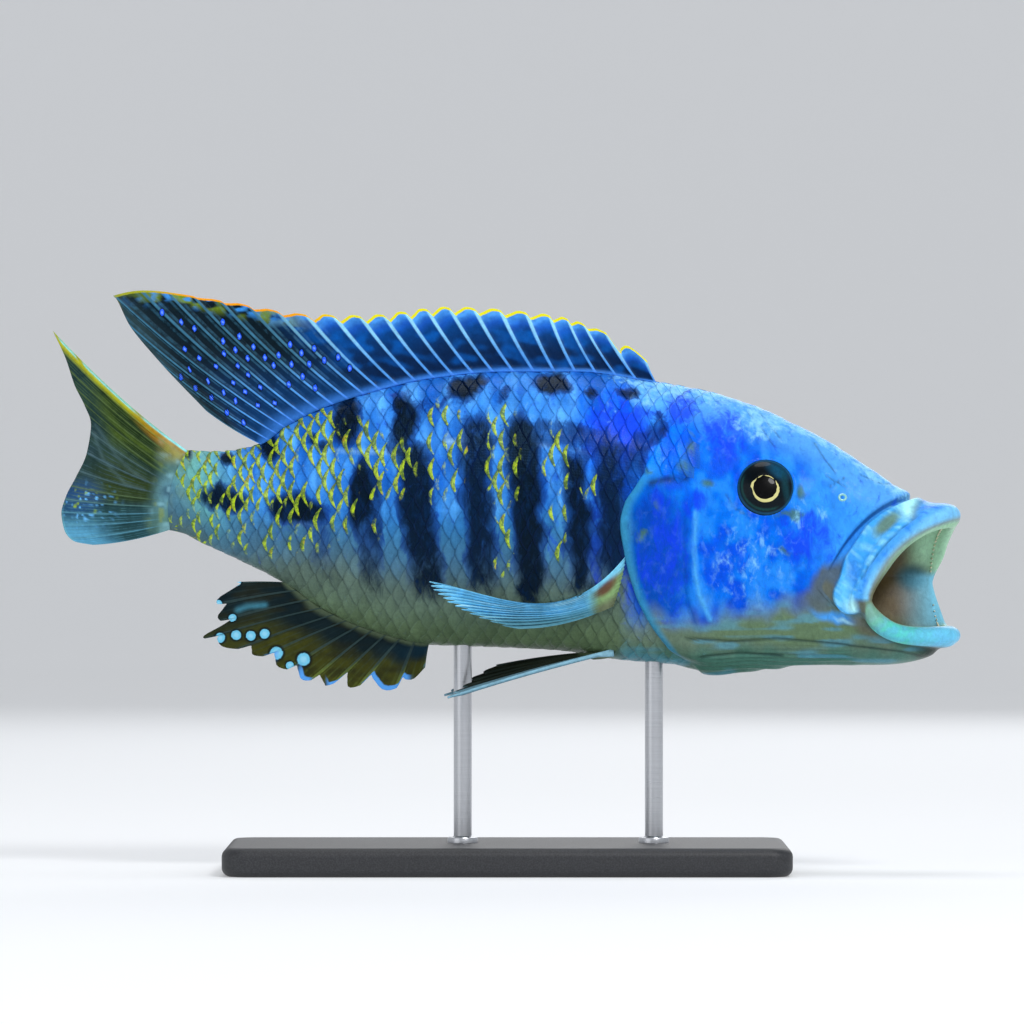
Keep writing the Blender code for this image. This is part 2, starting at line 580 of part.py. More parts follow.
def pelvic_fin(name, side, finish, collection):
    """A spine and five soft rays under the breast, held back and a little out."""
    columns = ray_columns(PELVIC_RAYS)
    s = (columns / (PELVIC_RAYS - 1))[:, None]
    along = np.array([0, 0.15, 0.35, 0.6, 0.82, 1.0])[None, :]
    root_x, root_y = 30.0 - 5.5 * s, 7.0 - 3.4 * s
    tip_x = -16.6 + 14.0 * s ** 1.3
    tip_y = 15.0 - 8.0 * s
    tip_z = 48.6 + 8.6 * s ** 1.2
    x = root_x * (1 - along) + tip_x * along
    y = root_y * (1 - along) + tip_y * along
    root_z = belly_height_at(root_x, root_y) - GAP
    z = root_z * (1 - along) + tip_z * along + 2.0 * along * (1 - along)
    z = np.minimum(z, belly_height_at(x, y) - GAP)
    upper = np.stack([x, side * y, z], axis=-1)
    down = side * unit(np.cross(np.gradient(upper, axis=0), np.gradient(upper, axis=1)))
    half = np.maximum(fin_thickness(columns, along[0], 0.0, 0.4), 1.0 * (1 - ease(0, 0.2, along)))
    lower = upper + down * 2 * half[..., None]
    return plate_of(name, bent(upper), bent(lower), finish, collection)


def rod(name, place, finish, collection, sockets):
    """A rod from a blind hole in the plate to a blind hole in the belly, and the two cutters for those holes."""
    foot = bent(np.array([place, 0.0, 0.0]))
    low, high = PLATE[2] - ROD_IN_PLATE, float(belly_line(place)) + ROD_IN_BELLY
    for label, grow, home in ((name, 0.0, collection), (name + "_socket", GAP, sockets)):
        bpy.ops.mesh.primitive_cylinder_add(vertices=24, radius=(ROD_RADIUS + grow) * MM,
                                            depth=(high - low + 2 * grow) * MM)
        made = bpy.context.object
        made.name = made.data.name = label
        made.data.transform(Matrix.Translation(Vector((foot[0], foot[1], (low + high) / 2)) * MM))
        made.data.shade_smooth()
        made.data.set_sharp_from_angle(angle=math.radians(40))
        move_to(made, home)
        if home is collection:
            made.data.materials.append(finish)
    return made


def stand_plate(finish, collection):
    bpy.ops.mesh.primitive_cube_add(size=1.0)
    made = bpy.context.object
    made.name = made.data.name = "stand_base"
    made.data.transform(Matrix.Translation((0, 0, PLATE[2] / 2 * MM)) @ Matrix.Diagonal((*(s * MM for s in PLATE), 1)))
    rounding = made.modifiers.new("rounded_edges", "BEVEL")
    rounding.width = PLATE_ROUNDING * MM
    rounding.segments = 3
    made.data.materials.append(finish)
    move_to(made, collection)
    return made


def main():
    for old in list(bpy.data.objects):
        bpy.data.objects.remove(old)
    fish = bpy.data.collections.new("tyrannochromis")
    cutters = bpy.data.collections.new("cutters")
    for collection in (fish, cutters):
        bpy.context.scene.collection.children.link(collection)

    skin = material("scaled_skin", (0.09, 0.30, 0.80), 0.35)
    belly = material("tail_skin", (0.28, 0.45, 0.42), 0.38)
    lip = material("lip_skin", (0.30, 0.66, 0.93), 0.30)
    dark_fin = material("dorsal_membrane", (0.04, 0.18, 0.36), 0.40)
    olive_fin = material("anal_membrane", (0.10, 0.12, 0.03), 0.40)
    tail_fin = material("tail_membrane", (0.20, 0.34, 0.22), 0.40)
    clear_fin = material("paired_fin_membrane", (0.30, 0.62, 0.80), 0.35)
    eye = material("eye", (0.02, 0.03, 0.04), 0.08)
    plate = material("stand_plate", (0.10, 0.10, 0.11), 0.45)
    steel = material("stand_rods", (0.62, 0.62, 0.64), 0.30, 1.0)

    head = head_node("head", skin, fish)
    front = body_node("trunk_front", lambda a: FRONT_FROM + 0 * a, gill_edge, 8, skin, fish)
    rear = body_node("trunk_rear", lambda a: REAR_FROM + 0 * a, lambda a: FRONT_FROM + 0 * a, 9, skin, fish)
    body_node("tail_stalk", stalk_end, lambda a: REAR_FROM + 0 * a, 11, belly, fish)
    upper_jaw(lip, fish)
    lower_jaw(lip, fish)
    for word, side in (("right", -1), ("left", 1)):
        gill_cover("gill_cover_" + word, side, skin, fish)
        centre, look = set_on_side(EYE_AT, side, EYE_SUNK)
        ball = ellipsoid("eye_" + word, centre, look, EYE_RADIUS, EYE_DEPTH, 20, fish)
        ball.data.materials.append(eye)
        cut(head, ellipsoid("socket_" + word, centre, look, EYE_RADIUS + GAP, EYE_DEPTH + GAP, 20, cutters))
        centre, look = set_on_side(NOSTRIL_AT, side, 0.0)
        cut(head, ellipsoid("nostril_" + word, centre, look, NOSTRIL_RADIUS, NOSTRIL_RADIUS, 8, cutters))
        pectoral_fin("pectoral_fin_" + word, side, clear_fin, fish)
        pelvic_fin("pelvic_fin_" + word, side, clear_fin, fish)
    dorsal_fin(dark_fin, fish)
    anal_fin(olive_fin, fish)
    caudal_fin(tail_fin, fish)
    base = stand_plate(plate, fish)
    for name, place in ROD_PLACES.items():
        socket = rod(name, place, steel, fish, cutters)
        cut(base, socket)
        cut(front if place > FRONT_FROM else rear, socket)


main()
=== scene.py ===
import math

import bmesh
import bpy
import numpy as np
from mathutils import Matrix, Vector


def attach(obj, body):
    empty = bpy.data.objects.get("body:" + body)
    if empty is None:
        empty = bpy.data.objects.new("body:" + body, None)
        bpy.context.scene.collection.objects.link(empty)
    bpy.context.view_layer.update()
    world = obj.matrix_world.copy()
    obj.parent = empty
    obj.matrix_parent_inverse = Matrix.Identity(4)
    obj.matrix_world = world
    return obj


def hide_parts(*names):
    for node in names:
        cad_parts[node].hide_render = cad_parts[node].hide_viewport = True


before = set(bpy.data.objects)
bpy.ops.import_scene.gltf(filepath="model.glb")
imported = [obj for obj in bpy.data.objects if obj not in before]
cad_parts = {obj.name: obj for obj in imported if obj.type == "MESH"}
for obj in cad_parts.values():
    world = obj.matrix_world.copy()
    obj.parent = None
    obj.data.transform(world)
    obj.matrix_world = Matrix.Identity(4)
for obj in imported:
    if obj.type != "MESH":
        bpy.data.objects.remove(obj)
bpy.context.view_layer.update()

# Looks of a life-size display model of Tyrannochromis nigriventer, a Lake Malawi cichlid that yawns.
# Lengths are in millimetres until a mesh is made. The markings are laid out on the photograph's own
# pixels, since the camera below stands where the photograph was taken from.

mm = 0.001

fish = dict(
    backLine=((-94.5, 117.2), (-79.0, 116.2), (-68.0, 118.2), (-61.0, 123.2), (-50.7, 128.3), (-39.0, 132.2),
              (-21.0, 136.5), (0.0, 138.4), (20.0, 138.4), (40.0, 135.7), (54.0, 133.3), (68.0, 129.2),
              (82.0, 122.8)),
    bellyLine=((-94.5, 94.9), (-89.0, 93.7), (-84.8, 91.5), (-79.0, 88.9), (-61.0, 79.9), (-50.7, 72.8),
               (-39.0, 67.5), (-21.0, 63.0), (0.0, 62.2), (14.0, 61.5), (32.0, 58.8), (46.0, 57.6),
               (58.0, 55.0), (68.0, 55.6), (82.0, 57.2)),
    halfWidth=((-94.5, 2.6), (-79.0, 4.8), (-61.0, 8.2), (-39.0, 12.2), (-12.0, 15.8), (14.0, 17.8),
               (36.0, 18.6), (54.0, 18.8), (68.0, 18.0), (82.0, 16.4)),
    sideFullness=1.08,           # over 1 is slab-sided
    keelSharpness=0.17,          # keener back, rounder belly
    bendFrom=15.0, headSwing=13.0, tailSwing=6.0, shift=-0.37,
    stalkFrom=-91.0,
)

mouth = dict(
    faceFrom=82.0, upperTip=(120.8, 97.9), lowerTip=(121.0, 65.6),
    rightCorner=(101.8, 75.8), leftCorner=(113.0, 81.0), gapeHalfWidth=14.0,
    upperPointed=1.4, lowerPointed=1.0, cornerAround=100.0, rimRadius=1.7, liningInward=0.3,
    upperFacing=(0.93, 0.0, -0.37), cornerFacing=(0.84, 0.54, -0.05), lowerFacing=(0.62, 0.0, 0.78),
    throat=(76.0, 84.0), throatHalf=(6.5, 8.5),
    upperStart=0.76, upperEndStart=0.40, upperInset=1.5, lowerStart=0.30, lowerEndStart=0.60, lowerInset=0.9,
    lobe=(848.5, 594.5, 18.0, 1.6), plateAxis=(0.557, 0.831),        # in the photograph's pixels
    # the run between plate and lip, by angle
    groove=((0, 0.84), (20, 0.89), (42, 1.06), (60, 1.12), (80, 1.02), (100, 0.92)),
)

gill = dict(
    edge=((0.0, 42.0), (60.0, 40.5), (74.0, 38.5), (84.0, 34.6), (92.0, 33.4), (104.0, 34.6), (120.0, 37.4),
          (135.0, 41.5), (150.0, 46.5), (165.0, 51.0), (180.0, 53.5)),
    cheek=((0.0, 51.0), (60.0, 51.0), (100.0, 51.6), (120.0, 53.0), (140.0, 57.5), (166.0, 66.0),
           (180.0, 66.0)),
    topFade=(66.0, 76.0), bottomFade=(150.0, 163.0), lift=1.5,
)

# The photograph: one pixel is this many millimetres, and px, py is the point at x 0, z 60
photo = dict(pixel=0.2772, px=506.0, py=655.0, z=60.0)


def curveThrough(points):
    # monotone cubic through (place, value) points, so it never swings past a value
    place, value = np.array(points, float).T
    step = np.diff(place)
    slope = np.diff(value) / step
    tangent = np.zeros(len(place))
    for i in range(1, len(place) - 1):
        if slope[i - 1] * slope[i] > 0:
            before, after = 2 * step[i] + step[i - 1], step[i] + 2 * step[i - 1]
            tangent[i] = (before + after) / (before / slope[i - 1] + after / slope[i])
    tangent[0], tangent[-1] = slope[0], slope[-1]

    def at(x):
        x = np.clip(np.asarray(x, float), place[0], place[-1])
        i = np.clip(np.searchsorted(place, x, side="right") - 1, 0, len(step) - 1)
        t = (x - place[i]) / step[i]
        rising = t * t * (3 - 2 * t)
        return (value[i] * (1 - rising) + value[i + 1] * rising
                + step[i] * (t * (1 - t) ** 2 * tangent[i] - t * t * (1 - t) * tangent[i + 1]))

    return at


def ease(low, high, x):
    # smooth step from 0 at low to 1 at high
    t = np.clip((np.asarray(x, float) - low) / (high - low), 0, 1)
    return t * t * (3 - 2 * t)


def fade(low, high, value):
    return 1 - ease(low, high, value)


def bell(away, width):
    return np.exp(-(away / width) ** 2)


def unit(vectors):
    return vectors / np.linalg.norm(vectors, axis=-1, keepdims=True)


backLine, bellyLine, halfWidth = (curveThrough(fish[k]) for k in ("backLine", "bellyLine", "halfWidth"))
gillEdge, cheekEdge = curveThrough(gill["edge"]), curveThrough(gill["cheek"])


def bent(points):
    # head and tail swing to the fish's right along two parabolas, and each cross-section turns with them
    points = np.asarray(points, float)
    ahead = points[..., 0] - fish["bendFrom"]
    swing = np.where(ahead > 0, fish["headSwing"], fish["tailSwing"]) / 100.0 ** 2
    turn = np.arctan(-2 * swing * ahead)
    return np.stack([points[..., 0] - points[..., 1] * np.sin(turn) + fish["shift"],
                     points[..., 1] * np.cos(turn) - swing * ahead ** 2,
                     points[..., 2]], axis=-1)


def section(x, around):
    # superellipse between the back and belly lines; around is 0 on the back, 90 on the right, 180 below
    rise, side = np.cos(np.radians(around)), np.sin(np.radians(around))
    back, belly = backLine(x), bellyLine(x)
    fullness = fish["sideFullness"] + fish["keelSharpness"] * rise
    return np.stack([x + 0 * rise, -halfWidth(x) * np.sign(side) * np.abs(side) ** fullness,
                     (back + belly) / 2 + (back - belly) / 2 * rise], axis=-1)


def fromBackOf(around):
    around = np.asarray(around, float) % 360
    return np.where(around > 180, 360 - around, around)


def rimParts(around):
    # the upper or lower arch of the mouth's rim, and the share of the way round it to the corner
    corner = mouth["cornerAround"]
    left, fromBack = around % 360 > 180, fromBackOf(around)
    upper = fromBack <= corner
    return left, upper, np.where(upper, fromBack / corner, (180 - fromBack) / (180 - corner))


def rimCentre(around):
    # two parabolic arches that meet at the corners of the mouth
    left, upper, share = rimParts(around)
    turn = np.radians(90 * share)
    cornerX = np.where(left, mouth["leftCorner"][0], mouth["rightCorner"][0])
    cornerZ = np.where(left, mouth["leftCorner"][1], mouth["rightCorner"][1])
    tipX = np.where(upper, mouth["upperTip"][0], mouth["lowerTip"][0])
    tipZ = np.where(upper, mouth["upperTip"][1], mouth["lowerTip"][1])
    pointed = np.where(upper, mouth["upperPointed"], mouth["lowerPointed"])
    drop = np.where(upper, 0.72 * np.sin(turn) ** 3.5 + 0.28 * share ** 2,
                    0.60 * np.sin(turn) ** 8 + 0.40 * share ** 4)
    return np.stack([cornerX + (tipX - cornerX) * np.cos(turn) ** (2 * pointed),
                     np.where(left, 1, -1) * mouth["gapeHalfWidth"] * np.sin(turn),
                     tipZ + (cornerZ - tipZ) * drop], axis=-1)


def rimFrame(around):
    # rim centre, the way that the rim faces, and the way out of the mouth across it
    left, upper, share = rimParts(around)
    weight = (np.sin(np.radians(90 * share)) ** 2)[..., None]
    tipFacing = np.where(upper[..., None], mouth["upperFacing"], mouth["lowerFacing"])
    side = np.stack([np.ones_like(share), np.where(left, 1.0, -1.0), np.ones_like(share)], axis=-1)
    facing = unit(tipFacing * (1 - weight) + np.array(mouth["cornerFacing"]) * side * weight)
    along = rimCentre(around + 1.0) - rimCentre(around - 1.0)
    return rimCentre(around), facing, unit(np.cross(along, facing))


def hermite(start, startWay, end, endWay, t):
    t = t[..., None]
    reach = np.linalg.norm(end - start, axis=-1, keepdims=True)
    rising = t * t * (3 - 2 * t)
    return (start * (1 - rising) + end * rising
            + reach * (t * (1 - t) ** 2 * startWay - t * t * (1 - t) * endWay))


def form(run, around):
    # the fish's outer form, unbent. run under 0 is millimetres behind the face, on the body's sections;
    # 0 to 1 is a Hermite patch over the jaws, 1 to 2 a half round over the rim, 2 to 3 the mouth's lining
    run, around = np.broadcast_arrays(np.asarray(run, float), np.asarray(around, float) % 360)
    faceFrom, rimRadius = mouth["faceFrom"], mouth["rimRadius"]
    faceStart = section(np.full(run.shape, faceFrom), around)
    faceWay = unit(faceStart - section(np.full(run.shape, faceFrom - 1.0), around))
    centre, facing, out = rimFrame(around)
    face = hermite(faceStart, faceWay, centre + rimRadius * out, facing, np.clip(run, 0, 1))
    roll = np.radians(180 * np.clip(run - 1, 0, 1))[..., None]
    rim = centre + rimRadius * (out * np.cos(roll) + facing * np.sin(roll))
    turn = np.radians(around)
    throat = np.stack([mouth["throat"][0] + 0 * turn, -mouth["throatHalf"][0] * np.sin(turn),
                       mouth["throat"][1] + mouth["throatHalf"][1] * np.cos(turn)], axis=-1)
    inward = unit(-facing - mouth["liningInward"] * out)
    lining = hermite(centre - rimRadius * out, inward, throat, np.array((-1.0, 0, 0)), np.clip(run - 2, 0, 1))
    body = section(faceFrom + np.minimum(run, 0), around)
    which = run[..., None]
    return np.where(which < 0, body, np.where(which < 1, face, np.where(which < 2, rim, lining)))


def outward(run, around):
    # the form's normal, from differences along and across it
    along = form(run + 0.01, around) - form(run - 0.01, around)
    across = form(run, around + 0.5) - form(run, around - 0.5)
    return unit(np.cross(across, along))


def jawStart(around):
    # where the jaws come out from under the snout's skin, as a run on the face
    fromBack, corner = fromBackOf(around), mouth["cornerAround"]
    upperStart, lowerStart = mouth["upperStart"], mouth["lowerStart"]
    upper = upperStart + (mouth["upperEndStart"] - upperStart) * (fromBack / corner) ** 2.6
    lower = lowerStart + (mouth["lowerEndStart"] - lowerStart) * ((180 - fromBack) / 70.0) ** 2
    return upper + (lower - upper) * ease(corner + 4, corner + 16, fromBack)


def pixelsOf(points):
    # where bent points show in the photograph
    return (photo["px"] + (points[..., 0] - fish["shift"]) / photo["pixel"],
            photo["py"] - (points[..., 2] - photo["z"]) / photo["pixel"])


def sidePixels(run, around):
    # a place on either side, by where its fellow on the right side shows
    return pixelsOf(bent(form(run, fromBackOf(around))))


# Paint tools
def tone(red, green, blue):
    # a screen colour of 0 to 255 as the linear colour that shaders take
    value = np.array((red, green, blue), float) / 255
    return np.where(value <= 0.04045, value / 12.92, ((value + 0.055) / 1.055) ** 2.4)


def lay(colour, over, share):
    share = np.clip(share, 0, 1)[..., None]
    return colour * (1 - share) + over * share


def coated(colour, *layers):
    # layers by turns of a colour and its share; a colour of three numbers is a screen colour
    colour = tone(*colour) if isinstance(colour, tuple) else colour
    for over, share in zip(layers[::2], layers[1::2]):
        colour = lay(colour, tone(*over) if isinstance(over, tuple) else over, share)
    return colour


def cloud(u, v, sizeU, sizeV, seed):
    # value noise from 0 to 1 on a seeded lattice, eased between its points
    lattice = np.random.default_rng(seed).random((64, 64))
    a, b = np.asarray(u) / sizeU, np.asarray(v) / sizeV
    i, j = np.floor(a).astype(int), np.floor(b).astype(int)
    s, t = ease(0, 1, a - i), ease(0, 1, b - j)
    i, j, k, m = i % 64, j % 64, (i + 1) % 64, (j + 1) % 64
    return (lattice[i, j] * (1 - s) * (1 - t) + lattice[k, j] * s * (1 - t)
            + lattice[i, m] * (1 - s) * t + lattice[k, m] * s * t)


def blot(u, v, place, soft=0.4, turn=0.0):
    # 1 inside an ellipse (centre u, v, radii), fading over its edge
    centreU, centreV, radiusU, radiusV = place
    c, s = math.cos(math.radians(turn)), math.sin(math.radians(turn))
    du, dv = u - centreU, v - centreV
    return fade(1 - soft, 1 + soft, np.hypot((du * c + dv * s) / radiusU, (dv * c - du * s) / radiusV))


def strongest(least, u, v, patches, soft):
    # the strongest of the patches at each place; a patch is an ellipse and its strength
    for *place, strength in patches:
        least = np.maximum(least, strength * blot(u, v, place, soft))
    return least


def stroke(u, v, points, width):
    # 1 on a line through the points, falling off like a bell over its width
    least = np.full(np.shape(u), 1e9)
    for (ax, ay), (bx, by) in zip(points, points[1:]):
        t = np.clip(((u - ax) * (bx - ax) + (v - ay) * (by - ay)) / ((bx - ax) ** 2 + (by - ay) ** 2), 0, 1)
        least = np.minimum(least, np.hypot(u - ax - t * (bx - ax), v - ay - t * (by - ay)))
    return bell(least, width)


def bar(u, v, topU, lowU, half, topV, lowV, soft=9.0):
    # an upright band whose middle drifts from topU to lowU
    middle = topU + (lowU - topU) * np.clip((v - topV) / (lowV - topV), 0, 1)
    across = fade(half - soft, half + soft, np.abs(u - middle))
    return across * ease(topV - 10, topV + 10, v) * fade(lowV - 22, lowV + 22, v)


# Markings, painted highlights and painted shade in folds, in the photograph's pixels
marks = dict(
    blotches=(  # centre, radii, turn, strength
        (348, 420, 15, 23, 0, 1.0), (404, 420, 13, 27, 0, 1.0), (268, 449, 10, 18, 0, .9),
        (229, 457, 8, 8, 0, .9), (187, 456, 8, 6, 0, .9), (311, 438, 6, 9, 0, .8), (325, 446, 6, 8, 0, .8),
        (298, 509, 28, 16, 3, 1.0), (225, 499, 27, 12, 16, .85), (465, 388, 18, 10, -12, 1.0),
        (551, 385, 18, 10, 8, 1.0), (591, 395, 8, 5, 0, .8), (627, 391, 12, 6, 0, .8),
        (503, 397, 5, 11, 20, .6), (556, 434, 52, 12, 4, .58), (440, 402, 60, 8, -8, .30),
        (362, 497, 13, 36, 0, 1.0), (480, 440, 18, 14, 0, .7), (654, 430, 12, 18, 35, .56),
        (634, 462, 13, 28, 20, .56), (612, 492, 16, 28, 0, .7)),
    bars=(      # middle at the top and low down, half width, top, bottom, strength
        (366, 374, 14, 462, 604, .62), (410, 430, 18, 440, 600, .84), (474, 482, 15, 418, 596, .80),
        (521, 531, 15, 420, 606, .98), (573, 583, 12, 452, 600, .88), (607, 613, 15, 440, 580, .74),
        (318, 330, 12, 520, 596, .42)),
    lateralLine=(((330, 452), (420, 453)), ((448, 442), (520, 443), (588, 452))),
    rearLine=((272, 517), (310, 524), (358, 527)),
    deepPatches=((680, 410, 18, 18, .8), (722, 432, 24, 26, .75), (806, 538, 30, 26, .72),
                 (640, 560, 30, 60, .45), (668, 545, 26, 70, .55), (700, 500, 12, 14, .8),
                 (622, 432, 46, 36, .8), (600, 500, 18, 50, .5), (745, 520, 26, 14, .35),
                 (830, 520, 20, 20, .3), (596, 560, 12, 60, .4)),
    # pale blue patches: painted highlights on the nape, back and snout, and a paler cheek
    paleAndHighlightPatches=((745, 560, 36, 44, .44), (700, 392, 60, 14, .8), (770, 420, 44, 24, .7),
                 (805, 512, 24, 22, .5), (640, 395, 26, 12, .6), (660, 460, 14, 14, .35),
                 (870, 470, 30, 16, .35), (600, 410, 26, 14, .35), (440, 408, 24, 12, .40),
                 (520, 412, 22, 12, .40)),
    orbit=(762.3, 487.5, 1.06),
    lensMarks=((443, 452, 22, 58), (503, 452, 18, 60), (557, 462, 16, 44), (557, 530, 10, 34),
               (500, 545, 12, 34), (590, 480, 10, 26)),
    flecks=((691, 449, 4, 10), (709, 480, 6, 4), (680, 470, 6, 5), (796, 492, 3, 10), (640, 534, 5, 4),
            (658, 506, 4, 5), (780, 550, 4, 3), (649, 474, 4, 4), (690, 434, 3, 2), (789, 516, 12, 3)),
    preopercle=((694, 512), (693, 545), (694, 572), (698, 594), (709, 619)),
    innerLine=((684, 520), (683, 560), (686, 600), (694, 622)),
    foldLines=(((687, 637), (730, 641), (776, 638), (834, 643), (899, 650), (928, 657)),
               ((868, 606), (880, 622), (900, 634), (930, 644)), ((700, 655), (740, 652), (780, 655))),
    wrinkles=(((813, 443), (822, 458), (834, 474)), ((824, 476), (843, 487)), ((827, 487), (842, 478)),
              ((747, 412), (760, 428), (772, 446)), ((760, 414), (778, 438)),
              ((859, 475), (881, 484), (894, 484)), ((724, 495), (732, 508), (744, 515)),
              ((781, 549), (791, 555), (800, 552))),
)


def stalkTint(colour, u, v, share):
    # the soft yellow, grey-blue and teal zones that the stalk's end and the tail fin's root have in common
    colour = coated(
        colour,
        (88, 128, 126), share * 0.85,
        (160, 146, 30), share * fade(450, 468, v) * 0.85,
        (104, 158, 176), share * blot(u, v, (174, 493, 20, 16), 0.7) * 0.8,
        (34, 60, 84), share * blot(u, v, (170, 491, 8, 6), 0.8) * 0.7,
        (90, 128, 112), share * ease(504, 532, v) * 0.8,
        (142, 196, 212), share * ease(0.52, 0.8, cloud(u, v, 9, 7, 71)) * 0.5)
    return lay(colour, tone(136, 150, 40), share * ease(0.62, 0.82, cloud(u, v, 6, 8, 72)) * 0.5)


def skinPaint(run, around):
    # layers of colour, from the broad zones to the spots. Returns red, green, blue and how far the place
    # belongs to the blue livery, with the strengths of the dark, deep blue and lime markings and of the pale
    # blue, which is partly pale markings and partly painted highlights
    run, around = np.broadcast_arrays(run, around)
    fromBack = fromBackOf(around)
    u0, v0 = sidePixels(run, around)
    u = u0 + 7 * (cloud(u0, v0, 22, 16, 3) - 0.5) + 3 * (cloud(u0, v0, 6, 9, 4) - 0.5)
    v = v0 + 9 * (cloud(u0, v0, 13, 24, 5) - 0.5) + 4 * (cloud(u0, v0, 5, 10, 6) - 0.5)
    streak = cloud(u0, v0, 5, 40, 7)
    mottle = cloud(u0, v0, 16, 22, 8)

    flank = coated(
        (40, 92, 180),
        (74, 142, 226), ease(0.2, 0.8, streak * 0.6 + mottle * 0.5),
        (100, 172, 244), ease(0.62, 0.9, streak * 0.6 + mottle * 0.5) * 0.8,
        (56, 112, 146), ease(478, 548, v) * 0.85,
        (34, 90, 240), ease(560, 600, u) * 0.75 * ease(0.25, 0.7, mottle),
        (108, 176, 170), fade(190, 260, u))
    fadeTop = 520 + 22 * ease(300, 430, u) - 30 * fade(170, 230, u)
    flank = stalkTint(flank, u, v, fade(168, 212, u))
    low = v - fadeTop
    flank = coated(
        flank,
        (66, 104, 130), ease(-20, 26, low) * 0.9,
        (84, 102, 90), ease(14, 54, low),
        (88, 108, 76), ease(50, 95, low) * 0.85)

    head = coated(
        (26, 84, 226),
        (62, 140, 244), ease(0.25, 0.75, mottle * 0.55 + cloud(u0, v0, 7, 9, 10) * 0.45),
        (84, 170, 250), ease(755, 880, u) * fade(560, 600, v) * 0.85,
        # lighter along the top of the head: a painted highlight
        (96, 166, 242), fade(26, 52, fromBack),
        (12, 68, 174), blot(u, v, (652, 556, 34, 66)) * 0.92)
    jawBorder = 611 - 26 * ease(770, 850, u) + 10 * ease(640, 720, 1400 - u)
    gular = ease(-22, 16, v - jawBorder + 16 * (mottle - 0.5))
    head = coated(
        head,
        (104, 124, 104), gular,
        (70, 118, 104), gular * ease(636, 660, v) * 0.85,
        (100, 126, 88), gular * blot(u, v, (790, 630, 90, 13)) * 0.7,
        (92, 164, 196), gular * ease(0.52, 0.8, cloud(u0, v0, 26, 4, 9)) * 0.45,
        (84, 166, 252), blot(u, v, (832, 616, 22, 5), 0.6, 14) * 0.85,
        # a painted highlight on the bright blue streak under the lobe
        (176, 232, 250), blot(u, v, (842, 620, 9, 2), 0.7, 20) * 0.8)
    strip = np.maximum(blot(u, v, (824, 582, 32, 11), 0.5, -49), blot(u, v, (814, 600, 22, 10), 0.8))
    head = coated(
        head,
        (88, 100, 96), strip * 0.92,
        (104, 104, 88), blot(u, v, (864, 624, 16, 10), 0.6, 30) * 0.85,
        (34, 40, 22), blot(u, v, (938, 655, 16, 9), 0.6) * 0.9)
    colour = lay(flank, head, ease(622, 640, u + 16 * ease(600, 680, v)))

    blue = 1 - np.maximum(ease(0, 60, low) * fade(622, 640, u), gular * ease(622, 640, u))
    dark = np.zeros(u.shape)
    for *place, turn, strength in marks["blotches"]:
        dark = np.maximum(dark, strength * blot(u, v, place, 0.45, turn))
    for topU, lowU, half, topV, lowV, strength in marks["bars"]:
        dark = np.maximum(dark, strength * bar(u, v, topU, lowU, half, topV, lowV))
    deep = strongest(0.22 * blue, u, v, marks["deepPatches"], 0.6)
    deep = deep * (1 - 0.9 * strip) * ease(170, 225, u)
    blue = blue * ease(168, 222, u) * (1 - 0.8 * strip)
    # pale blue strength: scattered pale markings, and painted highlights in the patches
    paleAndHighlight = strongest(0.12 + 0 * u, u, v, marks["paleAndHighlightPatches"], 0.7)
    # a painted highlight along the top of the head
    paleAndHighlight = np.maximum(paleAndHighlight, 0.75 * fade(12, 34, fromBack) * ease(560, 640, u))
    lime = blot(u, v, (290, 462, 128, 54), 0.3)
    for place in marks["lensMarks"]:
        lime = np.maximum(lime, 0.74 * blot(u, v, place, 0.5))
    lime = np.maximum(lime, 0.45 * blot(u, v, (270, 530, 130, 30), 0.5))

    for place in marks["flecks"]:
        colour = lay(colour, tone(70, 110, 60), 0.8 * blot(u, v, place, 0.5))
    for line in marks["lateralLine"]:
        colour = lay(colour, tone(160, 212, 248), 0.6 * stroke(u0, v0, line, 1.3))
    colour = lay(colour, tone(130, 165, 160), 0.35 * stroke(u0, v0, marks["rearLine"], 1.2))
    # painted shade in the head's folds and wrinkles, which pieceLift also sinks into the skin
    for line in marks["foldLines"]:
        colour = lay(colour, tone(40, 56, 48), 0.75 * stroke(u0, v0, line, 1.3))
    for line in marks["wrinkles"]:
        colour = lay(colour, tone(40, 70, 96), 0.55 * stroke(u0, v0, line, 0.9))
    colour = coated(
        colour,
        (96, 180, 240), 0.75 * stroke(u0, v0, marks["preopercle"], 2.4),
        (24, 70, 160), 0.6 * stroke(u0, v0, marks["innerLine"], 2.2),
        # painted shade under the top of the gill cover's edge
        (12, 22, 40), 0.8 * stroke(u0, v0, ((650, 484), (664, 480), (684, 478)), 4.0))
    return colour, blue, dark, deep, paleAndHighlight, lime


